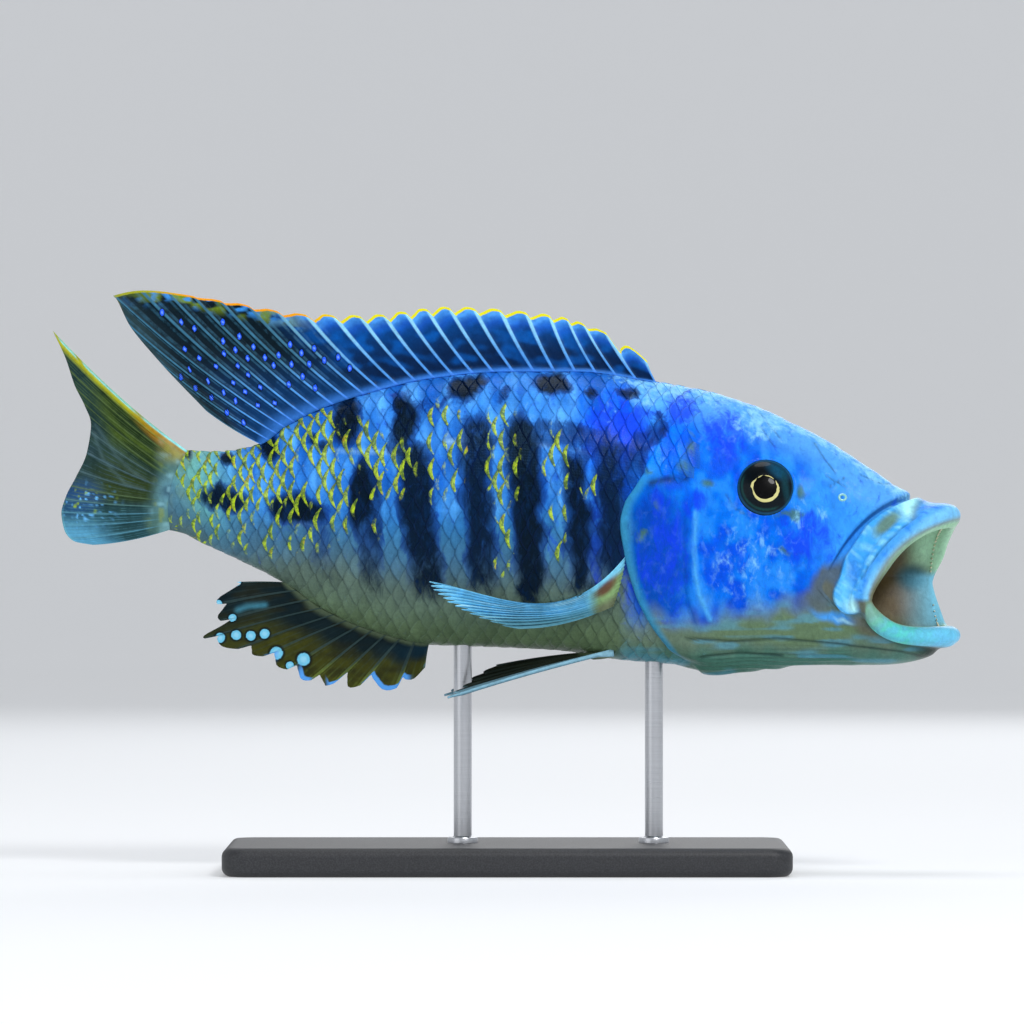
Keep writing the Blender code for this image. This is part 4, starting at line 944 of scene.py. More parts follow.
def makeScales(name, side, finish, seed):
    # a plate runs from its root, sunk in the skin ahead, to a free edge behind, a blunt arch. Its height
    # grows evenly from root to edge, so neighbours half a pitch ahead lie over it
    given = scaleSettings
    pitchAt, rowAt, arc = curveThrough(given["pitch"]), curveThrough(given["rowHeight"]), arcTable()
    places = [fish["stalkFrom"] - 4.0]
    while places[-1] < given["napeTo"]:
        places.append(places[-1] + float(pitchAt(places[-1])) / 2)
    places = np.array(places)
    column, row = np.meshgrid(np.arange(len(places)), np.arange(-16, 17), indexing="ij")
    keep = (column + row) % 2 == 0
    column, row = column[keep], row[keep]
    freeX = places[column]
    up, down = arc[3:]
    high, low = np.interp(freeX, arc[0], up), np.interp(freeX, arc[0], down)
    centre = row * rowAt(freeX)
    angle = aroundAt(arc, freeX, centre)
    limit = np.where(angle < 68, given["napeTo"] - 0.1 * angle, gillEdge(angle) - 1.3)
    keep = (centre < high + 1.5) & (centre > -low - 1.5) & (freeX < limit) & (freeX > stalkEnd(angle) - 0.5)
    column, row, freeX, angle = column[keep], row[keep], freeX[keep], angle[keep]
    rng = np.random.default_rng(seed)
    jitter = rng.normal(0, 1, (len(row), 4))

    p = np.array(given["lengthAt"])[None, :, None]
    c = np.linspace(-1, 1, given["crossSteps"] + 1)[None, None, :]
    pitch = pitchAt(freeX)[:, None, None]
    reach = given["reach"] * pitch
    x = (freeX[:, None, None] + pitch * given["edgeCurve"] * np.abs(c) ** given["edgePower"] * p ** 2
         + (1 - p) * reach + 0.06 * jitter[:, 0, None, None] * pitch)
    width = 1.02 - 0.22 * (1 - p) ** 2 + 0.02 * jitter[:, 1, None, None]
    s = (row[:, None, None] + c * width) * rowAt(np.minimum(x, 66.0))
    turn = aroundAt(arc, x, s)
    belly = ease(118, 150, turn)
    height = (given["root"] + (given["free"] - given["root"]) * p + given["crown"] * (1 - c ** 2) * p
              + 0.04 * jitter[:, 2, None, None] * p)
    height = height * (1 - 0.60 * belly) * (1 - 0.35 * ease(40, 60, x))
    height = np.where(height > 0, height * ease(*given["stalkFade"], freeX)[:, None, None], height)
    x, turn, height = (np.concatenate([a, a[:, -1:]], axis=1) for a in np.broadcast_arrays(x, turn, height))
    height[:, -1] -= given["wall"]
    run = np.minimum(x - mouth["faceFrom"], -0.02)
    around = turn if side < 0 else 360 - turn
    points = bent(form(run, around) + outward(run, around) * height[..., None])

    colour, blue, dark, deep, paleAndHighlight, lime = skinPaint(run, around)
    middle = len(given["lengthAt"]) - 3
    across = given["crossSteps"] // 2
    together = lambda a, share: a * (1 - share) + a[:, middle:middle + 1, across:across + 1] * share
    colour, dark = together(colour, 0.35), together(dark, 0.15)
    deep, paleAndHighlight = together(deep, 0.4), together(paleAndHighlight, 0.4)
    shade = 1 + 0.07 * jitter[:, 3, None, None]
    cross, length = np.broadcast_to(np.abs(c), x[:, :-1].shape), np.broadcast_to(p, x[:, :-1].shape)
    cross, length = (np.concatenate([a, a[:, -1:]], axis=1) for a in (cross, length))
    plain = ease(*given["stalkFade"], freeX)[:, None, None]
    rim = (0.25 + 0.75 * blue) * plain
    # each plate's own random tone, with a painted highlight on its free part and painted shade towards its
    # sides
    colour = colour * (shade * (1 + plain * (0.25 * ease(0.5, 0.85, length) - 0.12 * cross)))[..., None]
    lime = lime * np.clip(0.90 + 0.55 * jitter[:, 2, None, None], 0.0, 1.5)

    rows, columns = len(given["lengthAt"]) + 1, given["crossSteps"] + 1
    per = rows * columns
    quads = gridFaces(rows, columns)
    if side > 0:
        quads = quads[:, ::-1]
    faces = (quads[None] + (np.arange(len(row)) * per)[:, None, None]).reshape(-1, 4)
    rootU = (freeX + reach[:, 0, 0] + 100.0) / 200.0
    rootV = angle / 360.0 if side < 0 else 1 - angle / 360.0
    shape = np.stack([np.broadcast_to(c * 0.5 + 0.5, x[:, :-1].shape), np.broadcast_to(p, x[:, :-1].shape)],
                     axis=-1)
    shape = np.concatenate([shape, shape[:, -1:]], axis=1)
    bake = np.stack([rootU[:, None, None] + 0.003 * (shape[..., 1] - 0.5),
                     rootV[:, None, None] + 0.003 * (shape[..., 0] - 0.5)], axis=-1)
    flat = lambda a: a.reshape((-1,) + a.shape[3:])
    made = newPiece(name, flat(points), [faces], finish, uvs=dict(OFBake=flat(bake), ScaleShape=flat(shape)),
                    attributes=dict(paint=flat(withAlpha(colour, blue)), dark=flat(dark), deep=flat(deep),
                                    paleAndHighlight=flat(paleAndHighlight), lime=flat(lime),
                                    rim=flat(np.broadcast_to(rim, x.shape))))
    print(name, len(row), "scales,", 2 * len(faces), "triangles")
    return made


# Fins: two-faced vanes whose rays stand out as ridges
finSettings = dict(
    offsets=(0, 0.035, 0.07, 0.11, 0.16, 0.25, 0.38, 0.52, 0.66, 0.78, 0.86, 0.91, 0.945, 0.975),
    membraneHalf=0.22, rayHalf=0.62, rayReach=0.15, sheathHalf=1.25,
)
alongSteps = np.concatenate([np.linspace(0, 0.8, 34), np.linspace(0.8, 1.0, 22)[1:]])


def rayColumns(rays):
    whole = np.arange(rays - 1)[:, None] + np.array(finSettings["offsets"])[None, :]
    return np.append(whole.ravel(), rays - 1.0)


def ridge(columns):
    # 1 on a ray, rounded off to 0 beside it
    away = np.abs(columns - np.round(columns)) / finSettings["rayReach"]
    return np.sqrt(np.clip(1 - away ** 2, 0, 1))


def finHalf(columns, along, foot, taper=0.5):
    # half thickness: ridges that thin out towards the margin, over a thick foot
    rays = ridge(columns)[:, None] * (1 - taper * along[None, :])
    half = finSettings["membraneHalf"] + (finSettings["rayHalf"] - finSettings["membraneHalf"]) * rays
    half = half * (1 - 0.55 * ease(0.9, 1.0, along)[None, :])
    return np.maximum(half, foot * fade(0.0, 0.14, along)[None, :])


def finLines(base, tip, bow=0.0):
    # lines from base to tip, one for each place across the fin, bowed aside by a share of their length
    t = alongSteps[None, :, None]
    span = (tip - base)[:, None, :]
    aside = np.concatenate([-span[..., 1:], span[..., :1]], axis=-1)
    return base[:, None, :] * (1 - t) + tip[:, None, :] * t + aside * bow * (t * (1 - t))


def uprightFaces(line, sway, half):
    # both faces of a fin in the fish's middle plane, and where the near one shows in the photograph
    near, far = (bent(np.stack([line[..., 0], sway + part, line[..., 1]], axis=-1)) for part in (-half, half))
    return near, far, *pixelsOf(near)


def vaneFaces(rows, columns):
    # both faces of a vane and the band round its border
    count = rows * columns
    front = gridFaces(rows, columns)
    back = np.roll(front[:, ::-1], 1, axis=1)                   # both faces split along their short diagonals
    border = np.concatenate([np.arange(columns), np.arange(1, rows) * columns + columns - 1,
                             (rows - 1) * columns + np.arange(columns - 2, -1, -1),
                             np.arange(rows - 2, 0, -1) * columns])
    following = np.roll(border, -1)
    band = np.stack([border, following, following + count, border + count], axis=-1)
    return back, front + count, band


def makeVane(name, nearFace, farFace, finish, columns, along, margin, paint, rayPaint, edgePaint, flip,
             branch=1.0, spots=-9.0, spotPaint=(0.0, 0.0, 0.0)):
    # nearFace and farFace are like grids of points, one row for each place across the fin
    rows, steps = nearFace.shape[:2]
    back, front, band = vaneFaces(rows, steps)
    faces = [back, front, band]
    if flip:
        faces = [f[:, ::-1] for f in faces]
    both = lambda a: np.concatenate([a.reshape((-1,) + a.shape[2:])] * 2)
    map2 = np.stack(np.broadcast_arrays(columns[:, None], along[None, :]), axis=-1)
    made = newPiece(name, np.concatenate([nearFace.reshape(-1, 3), farFace.reshape(-1, 3)]), faces, finish,
                    uvs=dict(FinRays=both(map2)),
                    attributes=dict(paint=both(withAlpha(paint, 1.0)),
                                    rayPaint=both(withAlpha(rayPaint, 1.0)),
                                    edgePaint=both(edgePaint), margin=both(margin),
                                    branch=both(branch + 0 * margin), spots=both(spots + 0 * margin),
                                    spotPaint=both(withAlpha(np.asarray(spotPaint) + 0 * paint, 1.0))))
    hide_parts(name[len("fine_"):])
    return made


def finFinish(name, rayWidth, raySoft, fineLines, fineStrength, rayStrength=1.0, edgeWidth=0.75):
    # membrane and ray colours by attribute; ray lines and their branches by the fin's own map
    made, tree, shader = newFinish(name, Coat_Weight=0.02, Coat_Roughness=0.2, Specular_IOR_Level=0.11,
                                   Specular_Tint=(0.45, 0.70, 1.0, 1.0))
    parts = nodeOf(tree, "ShaderNodeSeparateXYZ",
                   i0=Wire(nodeOf(tree, "ShaderNodeUVMap", {"uv_map": "FinRays"}).outputs[0]))
    across, along = (Wire(parts.outputs[0]), Wire(parts.outputs[1]))
    fine = grain(objectPlace(tree), 900.0, 5, 0.62)
    wander = (grain(objectPlace(tree), 120.0, 2, 0.5) - 0.5) * 0.12
    place = across + wander
    away = abs(reckon("FRACT", across + 0.5) - 0.5)
    ray = 1.0 - between(away, rayWidth, rayWidth + raySoft)
    lines = abs(reckon("FRACT", place * fineLines) - 0.5)
    line = 1.0 - between(lines, 0.06, 0.24)
    line = line * (between(along, 0.02, 0.5) * (factor(tree, "branch") * fineStrength))
    patchy = grain(objectPlace(tree), 260.0, 4, 0.65, 0.5)
    value = fine * 0.6 + patchy * 0.7 + 0.35
    base = shaded(tree, painted(tree, "paint").outputs["Color"], value)
    rays = shaded(tree, painted(tree, "rayPaint").outputs["Color"], value)
    brush = blended(reckon("MAXIMUM", ray, line * between(patchy, 0.32, 0.58)) * rayStrength, base, rays)
    spots = factor(tree, "spots") + (fine - 0.5) * 0.35
    brush = blended(between(spots, -0.55, -0.15) * 0.75, brush, fixed(2, 8, 14))
    inside = blended(between(spots, 0.25, 0.75), painted(tree, "spotPaint").outputs["Color"],
                     blended(0.3, painted(tree, "spotPaint").outputs["Color"], fixed(190, 232, 250)))
    brush = blended(between(spots, -0.08, 0.12), brush, inside)
    margin = factor(tree, "margin") + (fine - 0.5) * 0.5
    edge = painted(tree, "edgePaint")
    edging = (1.0 - between(margin, edgeWidth * 0.85, edgeWidth * 1.25)) * Wire(edge.outputs["Alpha"])
    brush = blended(edging, brush, edge.outputs["Color"])
    plug(shader.inputs["Base Color"], brush)
    plug(shader.inputs["Roughness"], fine * 0.3 + 0.22)
    bumped(shader, line * 1.2 + fine * 0.5, 0.00018, 0.7)
    return made


def marginOf(points):
    # how far each point of a ray's line lies from the ray's tip
    steps = np.linalg.norm(np.diff(points, axis=1), axis=-1)
    length = np.concatenate([np.zeros((len(points), 1)), np.cumsum(steps, axis=1)], axis=1)
    return length[:, -1:] - length


def notch(columns, depth, after=0.93):
    # the margin falls behind each ray's tip to a notch just before the next ray
    t = columns - np.floor(columns)
    fall = np.clip(t / after, 0, 1) ** 2.4 - 0.30 * np.sin(np.pi * np.clip(t / 0.6, 0, 1))
    return depth * np.where(t < after, fall, fall * fade(after, 1.0, t))


dorsal = dict(
    rays=25,
    base=((0, 41.6), (0.62, -38.8), (0.83, -58.5), (1, -67.9)),
    tipX=((0, 39.0), (0.04, 28.0), (0.17, 11.6), (0.33, -15.2), (0.5, -40.5), (0.58, -54.9), (0.71, -79.3),
          (0.83, -100.1), (0.875, -108.4)),
    rearTipX=((0.875, -108.4), (0.917, -103.8), (0.958, -95.2), (1, -83.0)),
    tipZ=((0, 141.6), (0.04, 149.2), (0.17, 154.2), (0.33, 156.2), (0.5, 153.8), (0.58, 154.2), (0.71, 158.2),
          (0.83, 160.9), (0.875, 159.4), (0.917, 151.0), (0.958, 140.5), (1, 127.6)),
    bow=0.10, spotSize=(2.2, 3.7),
    spots=((181, 322), (163, 313), (223, 323), (223, 340), (224, 353), (237, 349), (241, 337), (254, 348),
           (248, 360), (237, 365), (248, 377), (234, 381), (264, 358), (274, 366), (279, 354), (290, 345),
           (292, 365), (301, 354), (303, 377), (310, 364), (314, 349), (316, 389), (289, 383), (274, 402),
           (260, 389), (259, 405), (246, 394), (225, 392), (238, 402), (244, 423), (228, 412), (212, 399),
           (209, 381), (197, 389), (217, 367), (200, 357), (185, 349), (191, 369), (182, 377), (195, 329),
           (350, 368), (338, 357), (324, 361)),
)


def spotField(u, v, places, size):
    # 1 at the middle of the nearest spot, 0 on its edge, negative outside
    least = np.full(np.shape(u), 9.0)
    for place in places:
        wide, high = size if len(place) == 2 else (place[2], place[2])
        nearest = np.argmin(np.hypot(u - place[0], v - place[1]))
        least = np.minimum(least, np.hypot((u - u.flat[nearest]) / wide, (v - v.flat[nearest]) / high))
    return np.maximum(1 - least, -3.0)


def makeDorsal(finish):
    # rays run from the back line to a margin with a notch behind each; soft rays carry rows of blue spots
    columns = rayColumns(dorsal["rays"])
    s = columns / (dorsal["rays"] - 1)
    baseX = curveThrough(dorsal["base"])(s)
    tipX = np.where(s > 0.875, curveThrough(dorsal["rearTipX"])(s), curveThrough(dorsal["tipX"])(s))
    base = np.stack([baseX, backLine(baseX) + 0.1], axis=-1)
    tip = np.stack([tipX, curveThrough(dorsal["tipZ"])(s)], axis=-1)
    depth = np.where(columns < 1, 0.42, np.where(s < 0.58, 0.085, 0.05 * fade(0.6, 0.8, s)))
    tip = tip - (tip - base) * notch(columns, depth)[:, None]
    along = alongSteps
    line = finLines(base, tip, dorsal["bow"])
    sway = 1.6 * np.sin(3.2 * s * math.pi)[:, None] * (along ** 1.5)[None, :]
    sway = sway + 0.35 * np.sin(2 * np.pi * columns)[:, None] * (along * (1 - along))[None, :]
    half = finHalf(columns, along, finSettings["sheathHalf"])
    near, far, u, v = uprightFaces(line, sway, half)
    margin = marginOf(near)
    a = np.broadcast_to(along[None, :], u.shape)
    soft = ease(0.55, 0.68, s)[:, None] + 0 * a
    weave = cloud(u + 0.75 * v, v - 0.3 * u, 14, 7, 41)
    paint = coated(
        (2, 32, 72),
        (4, 94, 188), ease(0.4, 0.9, weave) * 0.5 + ease(0.3, 1.0, a) * 0.5,
        (4, 20, 28), soft,
        (8, 62, 120), soft * fade(0.0, 0.6, a) * 0.7)
    band = fade(1.2, 4.2, margin) * (1 - soft)
    paint = coated(
        paint,
        (78, 160, 246), band * (0.65 + 0.35 * ease(0.3, 0.7, cloud(u, v, 7, 3, 42))),
        (34, 96, 214), fade(3.0, 6.5, margin) * (1 - soft) * 0.5 * (1 - band))
    patch = soft * fade(2.0, 7.5, margin) * fade(0.78, 0.9, s)[:, None]
    paint = coated(
        paint,
        (122, 150, 24), patch * ease(0.35, 0.6, cloud(u, v, 11, 6, 43)) * 0.85,
        (60, 150, 240), patch * ease(0.62, 0.78, cloud(u, v, 7, 5, 44)) * 0.9,
        (44, 66, 70), ease(0.84, 0.9, s)[:, None] * ease(0.6, 0.95, a) * 0.8)
    spots = spotField(u, v, dorsal["spots"], dorsal["spotSize"])
    foot = fade(0.0, 0.11, a) * (1 - 0.3 * soft)
    paint = lay(paint, tone(60, 130, 226), foot)
    rays = coated(
        (84, 158, 236),
        (150, 220, 250), ease(0.2, 1.0, a),
        (58, 112, 140), soft * ease(0.15, 0.5, a),
        (70, 134, 236), fade(0.0, 0.16, a))
    yellow = coated(
        (232, 226, 24),
        (244, 160, 12), ease(0.5, 0.62, s)[:, None] + 0 * a,
        (156, 160, 30), ease(0.74, 0.84, s)[:, None] + 0 * a)
    edge = withAlpha(yellow, 1 - (ease(0.86, 0.90, s)[:, None] + 0 * a))
    return makeVane("fine_dorsal_fin", near, far, finish, columns, along, margin, paint, rays, edge, True,
                    soft, spots, tone(30, 92, 252))


anal = dict(
    rays=12,
    base=((0, -21.4), (0.3, -34.5), (1, -61.6)),
    tipX=((0, -22.4), (0.09, -30.2), (0.18, -40.3), (0.36, -53.8), (0.55, -67.6), (0.64, -74.3),
          (0.727, -83.2), (0.82, -78.9), (0.91, -79.8), (1, -74.6)),
    tipZ=((0, 56.6), (0.09, 50.9), (0.18, 51.6), (0.36, 53.0), (0.55, 59.8), (0.64, 61.8), (0.727, 64.6),
          (0.82, 69.6), (0.91, 74.2), (1, 80.3)),
    bow=-0.05,
    eggSpots=((304, 659, 6.5), (277, 653, 6.5), (266, 633, 5), (251, 635, 5), (236, 634, 5), (221, 638, 5),
              (233, 618, 4), (219, 604, 4), (234, 583, 4.5), (290, 665, 4)),
    streaks=(((238, 610), (248, 606), (265, 605)),),
)


def makeAnal(finish):
    # a dark olive vane with pale blue egg spots, a blue edge in front and drawn out behind
    columns = rayColumns(anal["rays"])
    s = columns / (anal["rays"] - 1)
    baseX = curveThrough(anal["base"])(s)
    base = np.stack([baseX, bellyLine(baseX)], axis=-1)
    tip = np.stack([curveThrough(anal["tipX"])(s), curveThrough(anal["tipZ"])(s)], axis=-1)
    tip = tip - (tip - base) * notch(columns, np.where(s < 0.3, 0.24, 0.12))[:, None]
    along = alongSteps
    line = finLines(base, tip, anal["bow"])
    sway = -1.2 * np.sin(2.2 * s * math.pi)[:, None] * (along ** 1.5)[None, :]
    half = finHalf(columns, along, finSettings["sheathHalf"])
    near, far, u, v = uprightFaces(line, sway, half)
    a = np.broadcast_to(along[None, :], u.shape)
    margin = marginOf(near)
    weave = cloud(u, v, 14, 5, 51)
    paint = coated(
        (12, 26, 28),
        (58, 60, 10), ease(0.3, 0.6, a) * fade(0.62, 0.9, s)[:, None],
        (34, 34, 12), ease(0.4, 0.9, weave) * 0.6,
        (14, 46, 62), fade(0.0, 0.3, s)[:, None] * fade(0.2, 0.6, a) * 0.8,
        (92, 108, 82), fade(0.02, 0.12, a) * 0.9)
    spots = spotField(u, v, anal["eggSpots"], 1.0)
    for streak in anal["streaks"]:
        paint = lay(paint, tone(60, 120, 140), 0.9 * stroke(u, v, streak, 3.0))
    rays = coated((48, 66, 66), (104, 122, 50), ease(0.5, 0.95, a) * fade(0.4, 0.6, s)[:, None])
    edge = withAlpha(tone(84, 156, 232), ease(0.45, 0.7, cloud(u, v, 16, 40, 52))
                     * fade(0.5, 0.62, s)[:, None])
    return makeVane("fine_anal_fin", near, far, finish, columns, along, margin, paint, rays, edge, True,
                    1.0, spots, tone(112, 194, 226))


caudal = dict(
    rays=15,
    tipX=((0, -125.0), (0.1, -121.5), (0.2, -119.0), (0.3, -116.3), (0.4, -114.6), (0.5, -115.9),
          (0.6, -119.2), (0.7, -122.2), (0.8, -123.8), (0.88, -123.3), (0.95, -120.6), (1, -115.5)),
    tipZ=((0, 149.6), (0.1, 142.0), (0.2, 134.5), (0.3, 129.0), (0.4, 123.8), (0.5, 116.0), (0.6, 109.2),
          (0.7, 104.0), (0.8, 99.0), (0.88, 95.0), (0.95, 91.6), (1, 90.6)),
    curl=-13.0,
    streaks=(((97, 425), (112, 447), (117, 455), (132, 470), (147, 481)),
             ((96, 435), (105, 460), (127, 484), (145, 490))),
)


def halfWidthAt(x, z):
    # distance from the middle plane to the body's side at a place seen from the side
    back, belly = backLine(x), bellyLine(x)
    rise = np.clip((z - (back + belly) / 2) / ((back - belly) / 2), -0.999, 0.999)
    return halfWidth(x) * np.sqrt(1 - rise ** 2) ** (fish["sideFullness"] + fish["keelSharpness"] * rise)


def makeCaudal(finish):
    # rays fan from the stalk's arc to a forked margin; the lower lobe curls to the right
    columns = rayColumns(caudal["rays"])
    s = columns / (caudal["rays"] - 1)
    fromBack = np.degrees(np.arccos(np.clip(1 - 2 * s, -1, 1)))
    baseX = stalkEnd(fromBack) + 0.5
    back, belly = backLine(baseX), bellyLine(baseX)
    base = np.stack([baseX, (back + belly) / 2 + (back - belly) / 2 * (1 - 2 * s) * 0.985], axis=-1)
    tip = np.stack([curveThrough(caudal["tipX"])(s), curveThrough(caudal["tipZ"])(s)], axis=-1)
    along = alongSteps
    line = finLines(base, tip)
    line[..., 1] -= (3.1 * (1 - s) ** 2 + 1.5 * s ** 2)[:, None] * (along * (1 - along))[None, :] * 2.2
    curl = caudal["curl"] * (ease(0.35, 1.0, s)[:, None] * (along ** 1.6)[None, :])
    half = finHalf(columns, along, 0.0)
    stalkHalf = halfWidthAt(baseX, base[:, 1]) + 0.05
    half = np.maximum(half, stalkHalf[:, None] * fade(0, 0.34, along)[None, :])
    near, far, u, v = uprightFaces(line, curl, half)
    a, q = np.broadcast_arrays(along[None, :], s[:, None])
    margin = marginOf(near)
    weave = cloud(q * 300, a * 60, 9, 22, 61)
    paint = coated(
        (34, 52, 18),
        (78, 100, 34), ease(0.35, 0.8, weave) * 0.8,
        (26, 52, 58), np.maximum(ease(0.3, 0.5, q) * 0.75, ease(0.62, 0.88, a) * 0.8),
        (48, 62, 8), blot(q, a, (0.57, 0.35, 0.11, 0.5), 0.5) * 0.8,
        (36, 70, 74), ease(0.66, 0.78, q),
        # a painted sheen: paler blue over the lower lobe's outer part, where it faces the light
        (92, 166, 204), ease(0.76, 0.92, q) * ease(0.45, 0.85, a) * 0.9,
        (44, 92, 160), blot(q, a, (0.7, 0.86, 0.1, 0.2), 0.5) * 0.45)
    for line in caudal["streaks"]:
        paint = lay(paint, tone(104, 136, 146), 0.2 * stroke(u, v, line, 1.8))
    speck = cloud(u, v, 2.6, 2.6, 62)
    paint = coated(
        paint,
        (110, 190, 250), blot(q, a, (0.74, 0.74, 0.12, 0.24), 0.5) * ease(0.72, 0.86, speck),
        (140, 170, 40), blot(q, a, (0.72, 0.76, 0.1, 0.24), 0.5) * ease(0.8, 0.92, cloud(u, v, 3.4, 3.4, 63)),
        (186, 184, 22), fade(0.035, 0.085, q) * 0.9,
        (170, 116, 14), blot(q, a, (0.05, 0.1, 0.07, 0.28), 0.5) * 0.8)
    icy = fade(0.012, 0.032, q) * ease(0.25, 0.55, cloud(a * 100, q * 10, 9, 3, 64) + 0.2)
    paint = lay(paint, tone(150, 236, 238), icy)
    paint = stalkTint(paint, u, v, fade(0.02, 0.26, a) * ease(0.02, 0.08, q))
    rays = coated(
        (86, 108, 58),
        (66, 92, 100), ease(0.32, 0.46, q) * fade(0.55, 0.68, q),
        (84, 142, 164), ease(0.64, 0.8, q),
        (150, 170, 60), fade(0.04, 0.1, q),
        paint, fade(0.04, 0.2, a))
    edge = withAlpha(tone(120, 190, 200), 0.4 * ease(0.7, 0.9, q))
    return makeVane("fine_caudal_fin", near, far, finish, columns, along, margin, paint, rays, edge, True)


pectoral = dict(
    rays=13,
    # pairs are for the top ray and the way from there to the lowest
    rootX=(30.2, -2.0), rootZ=(83.6, -10.8), tipZ=(80.6, -13.0),
    tipX=(-22.0, 6.0, 17.5), sag=(6.0, 41.0, 35.0), lift=(9.0, 9.0), foot=(-0.075, -0.05, -0.025),
)


def pairsAt(settings, s, *names):
    # each named pair as its first value and s times its second
    return (settings[k][0] + settings[k][1] * s for k in names)


def makePectoral(word, side, finish):
    # a half-folded fan on a fleshy pad; the rays sag between root and tip and swing out from the flank
    columns = rayColumns(pectoral["rays"])
    s = (columns / (pectoral["rays"] - 1))[:, None]
    along = np.concatenate([pectoral["foot"], alongSteps])[None, :]
    rootX, rootZ, tipZ, lift = pairsAt(pectoral, s, "rootX", "rootZ", "tipZ", "lift")
    first, slope, sweep = pectoral["tipX"]
    tipX = first + slope * s + sweep * s ** 2.2
    frayed = 0.018 * cloud(columns * 9.0, 0 * columns, 1.0, 1.0, 71)[:, None]
    tipX = tipX + (rootX - tipX) * (frayed + notch(columns, 0.05)[:, None])
    x = rootX * (1 - along) + tipX * along
    least, most, relief = pectoral["sag"]
    sag = least + (most - relief * along) * (1 - s) ** 1.2
    z = rootZ * (1 - along) + tipZ * along - sag * along * (1 - along)
    half = np.maximum(finHalf(columns, along[0], 0.0, 0.4) * 0.8, 1.35 * fade(0.04, 0.2, along))
    lift = lift * ease(0.02, 1.0, along) * (0.35 + 0.65 * along)
    sunk = 2.6 * np.clip(along / pectoral["foot"][0], 0, 1) ** 1.5
    rest = halfWidthAt(x, z) * (1 - along * 0.15) + 0.1 - sunk
    inner, outer = rest + lift, rest + lift + 2 * half
    near, far = (bent(np.stack([x, side * y, z], axis=-1)) for y in (outer, inner))
    a, q = np.broadcast_arrays(along, s)
    weave = cloud(q * 200, a * 50, 4, 18, 72)
    paint = coated(
        (100, 184, 222),
        (140, 220, 248), ease(0.3, 0.8, weave),
        (70, 112, 110), ease(0.55, 0.95, q) * 0.55,
        (124, 206, 236), fade(0.1, 0.4, a) * fade(0.3, 0.6, q) * 0.8)
    pad = fade(0.06, 0.17, a)
    paint = coated(
        paint,
        (134, 170, 112), pad * ease(0.15, 0.35, q),
        (112, 122, 92), pad * ease(0.6, 0.9, q),
        (96, 34, 36), blot(q, a, (0.36, 0.03, 0.2, 0.07), 0.5) * 0.85)
    rays = coated(
        (124, 204, 242),
        (188, 236, 250), ease(0.4, 0.9, weave) * 0.7,
        (96, 132, 124), ease(0.6, 0.95, q) * 0.7,
        paint, pad)
    edge = withAlpha(tone(150, 214, 240), 0.5 * fade(0.2, 0.5, q))
    return makeVane("fine_pectoral_fin_" + word, near, far, finish, columns, along[0], marginOf(near), paint,
                    rays, edge, side > 0)


pelvic = dict(
    rays=6,
    # pairs are for the spine and the way from there to the last ray
    rootX=(30.0, -5.5), rootY=(7.0, -3.4), tipY=(15.0, -8.0),
    tipX=(-16.6, 14.0), tipZ=(48.6, 8.6),
)


def bellyHeightAt(x, y):
    # height of the underside at a place seen from below
    across = np.minimum(np.abs(y) / halfWidth(x), 1) ** (1 / (fish["sideFullness"] - fish["keelSharpness"]))
    back, belly = backLine(x), bellyLine(x)
    return (back + belly) / 2 - (back - belly) / 2 * np.sqrt(1 - across ** 2)


def makePelvic(word, side, finish):
    # a stout spine and soft rays under the breast, held back and a little out
    columns = rayColumns(pelvic["rays"])
    s = (columns / (pelvic["rays"] - 1))[:, None]
    along = alongSteps[None, :]
    rootX, rootY, tipY = pairsAt(pelvic, s, "rootX", "rootY", "tipY")
    tipX = pelvic["tipX"][0] + pelvic["tipX"][1] * s ** 1.3
    tipX = tipX + (rootX - tipX) * notch(columns, 0.03)[:, None]
    tipZ = pelvic["tipZ"][0] + pelvic["tipZ"][1] * s ** 1.2
    x = rootX * (1 - along) + tipX * along
    y = rootY * (1 - along) + tipY * along
    z = (bellyHeightAt(rootX, rootY) + 0.4) * (1 - along) + tipZ * along + 2.0 * along * (1 - along)
    z = np.minimum(z, bellyHeightAt(x, y) + 0.4 * fade(0, 0.1, along) - 0.2)
    upper = np.stack([x, side * y, z], axis=-1)
    down = side * unit(np.cross(np.gradient(upper, axis=0), np.gradient(upper, axis=1)))
    half = np.maximum(finHalf(columns, along[0], 0.0, 0.4), 1.0 * fade(0, 0.2, along))
    lower = upper + down * 2 * half[..., None]
    near, far = bent(upper), bent(lower)
    a, q = np.broadcast_arrays(along, s)
    weave = cloud(q * 200, a * 50, 5, 16, 81)
    paint = coated(
        (16, 18, 10),
        (40, 42, 26), ease(0.3, 0.9, weave) * 0.6,
        (110, 132, 98), fade(0.03, 0.22, a),
        (132, 178, 196), fade(0.04, 0.14, q) * 0.9)
    rays = coated((38, 46, 40), (136, 184, 206), fade(0.1, 0.3, q))
    edge = withAlpha(tone(150, 200, 222), 0.5 * fade(0.1, 0.5, q))
    return makeVane("fine_pelvic_fin_" + word, near, far, finish, columns, along[0], marginOf(near), paint,
                    rays, edge, side > 0)


# Eyes and nostrils
eye = dict(at=(71.0, 106.5), radius=8.35, depth=4.6, sunk=1.75, segments=128, rings=72,
           pupil=3.25, pupilShift=(-0.3, -0.7))
nostril = dict(at=(92.3, 103.5), radius=0.85, tube=0.34, oval=1.1, turns=40, sides=14)


def onRightSide(x, z):
    # the run and angle of the skin's point that shows at x and z from the right
    run, around = np.meshgrid(np.concatenate([np.linspace(-40, 0, 161), np.linspace(0, 0.9, 91)[1:]]),
                              np.linspace(10, 170, 321), indexing="ij")
    seen = bent(form(run, around))
    nearest = np.argmin((seen[..., 0] - x) ** 2 + (seen[..., 2] - z) ** 2)
    return run.flat[nearest], around.flat[nearest]


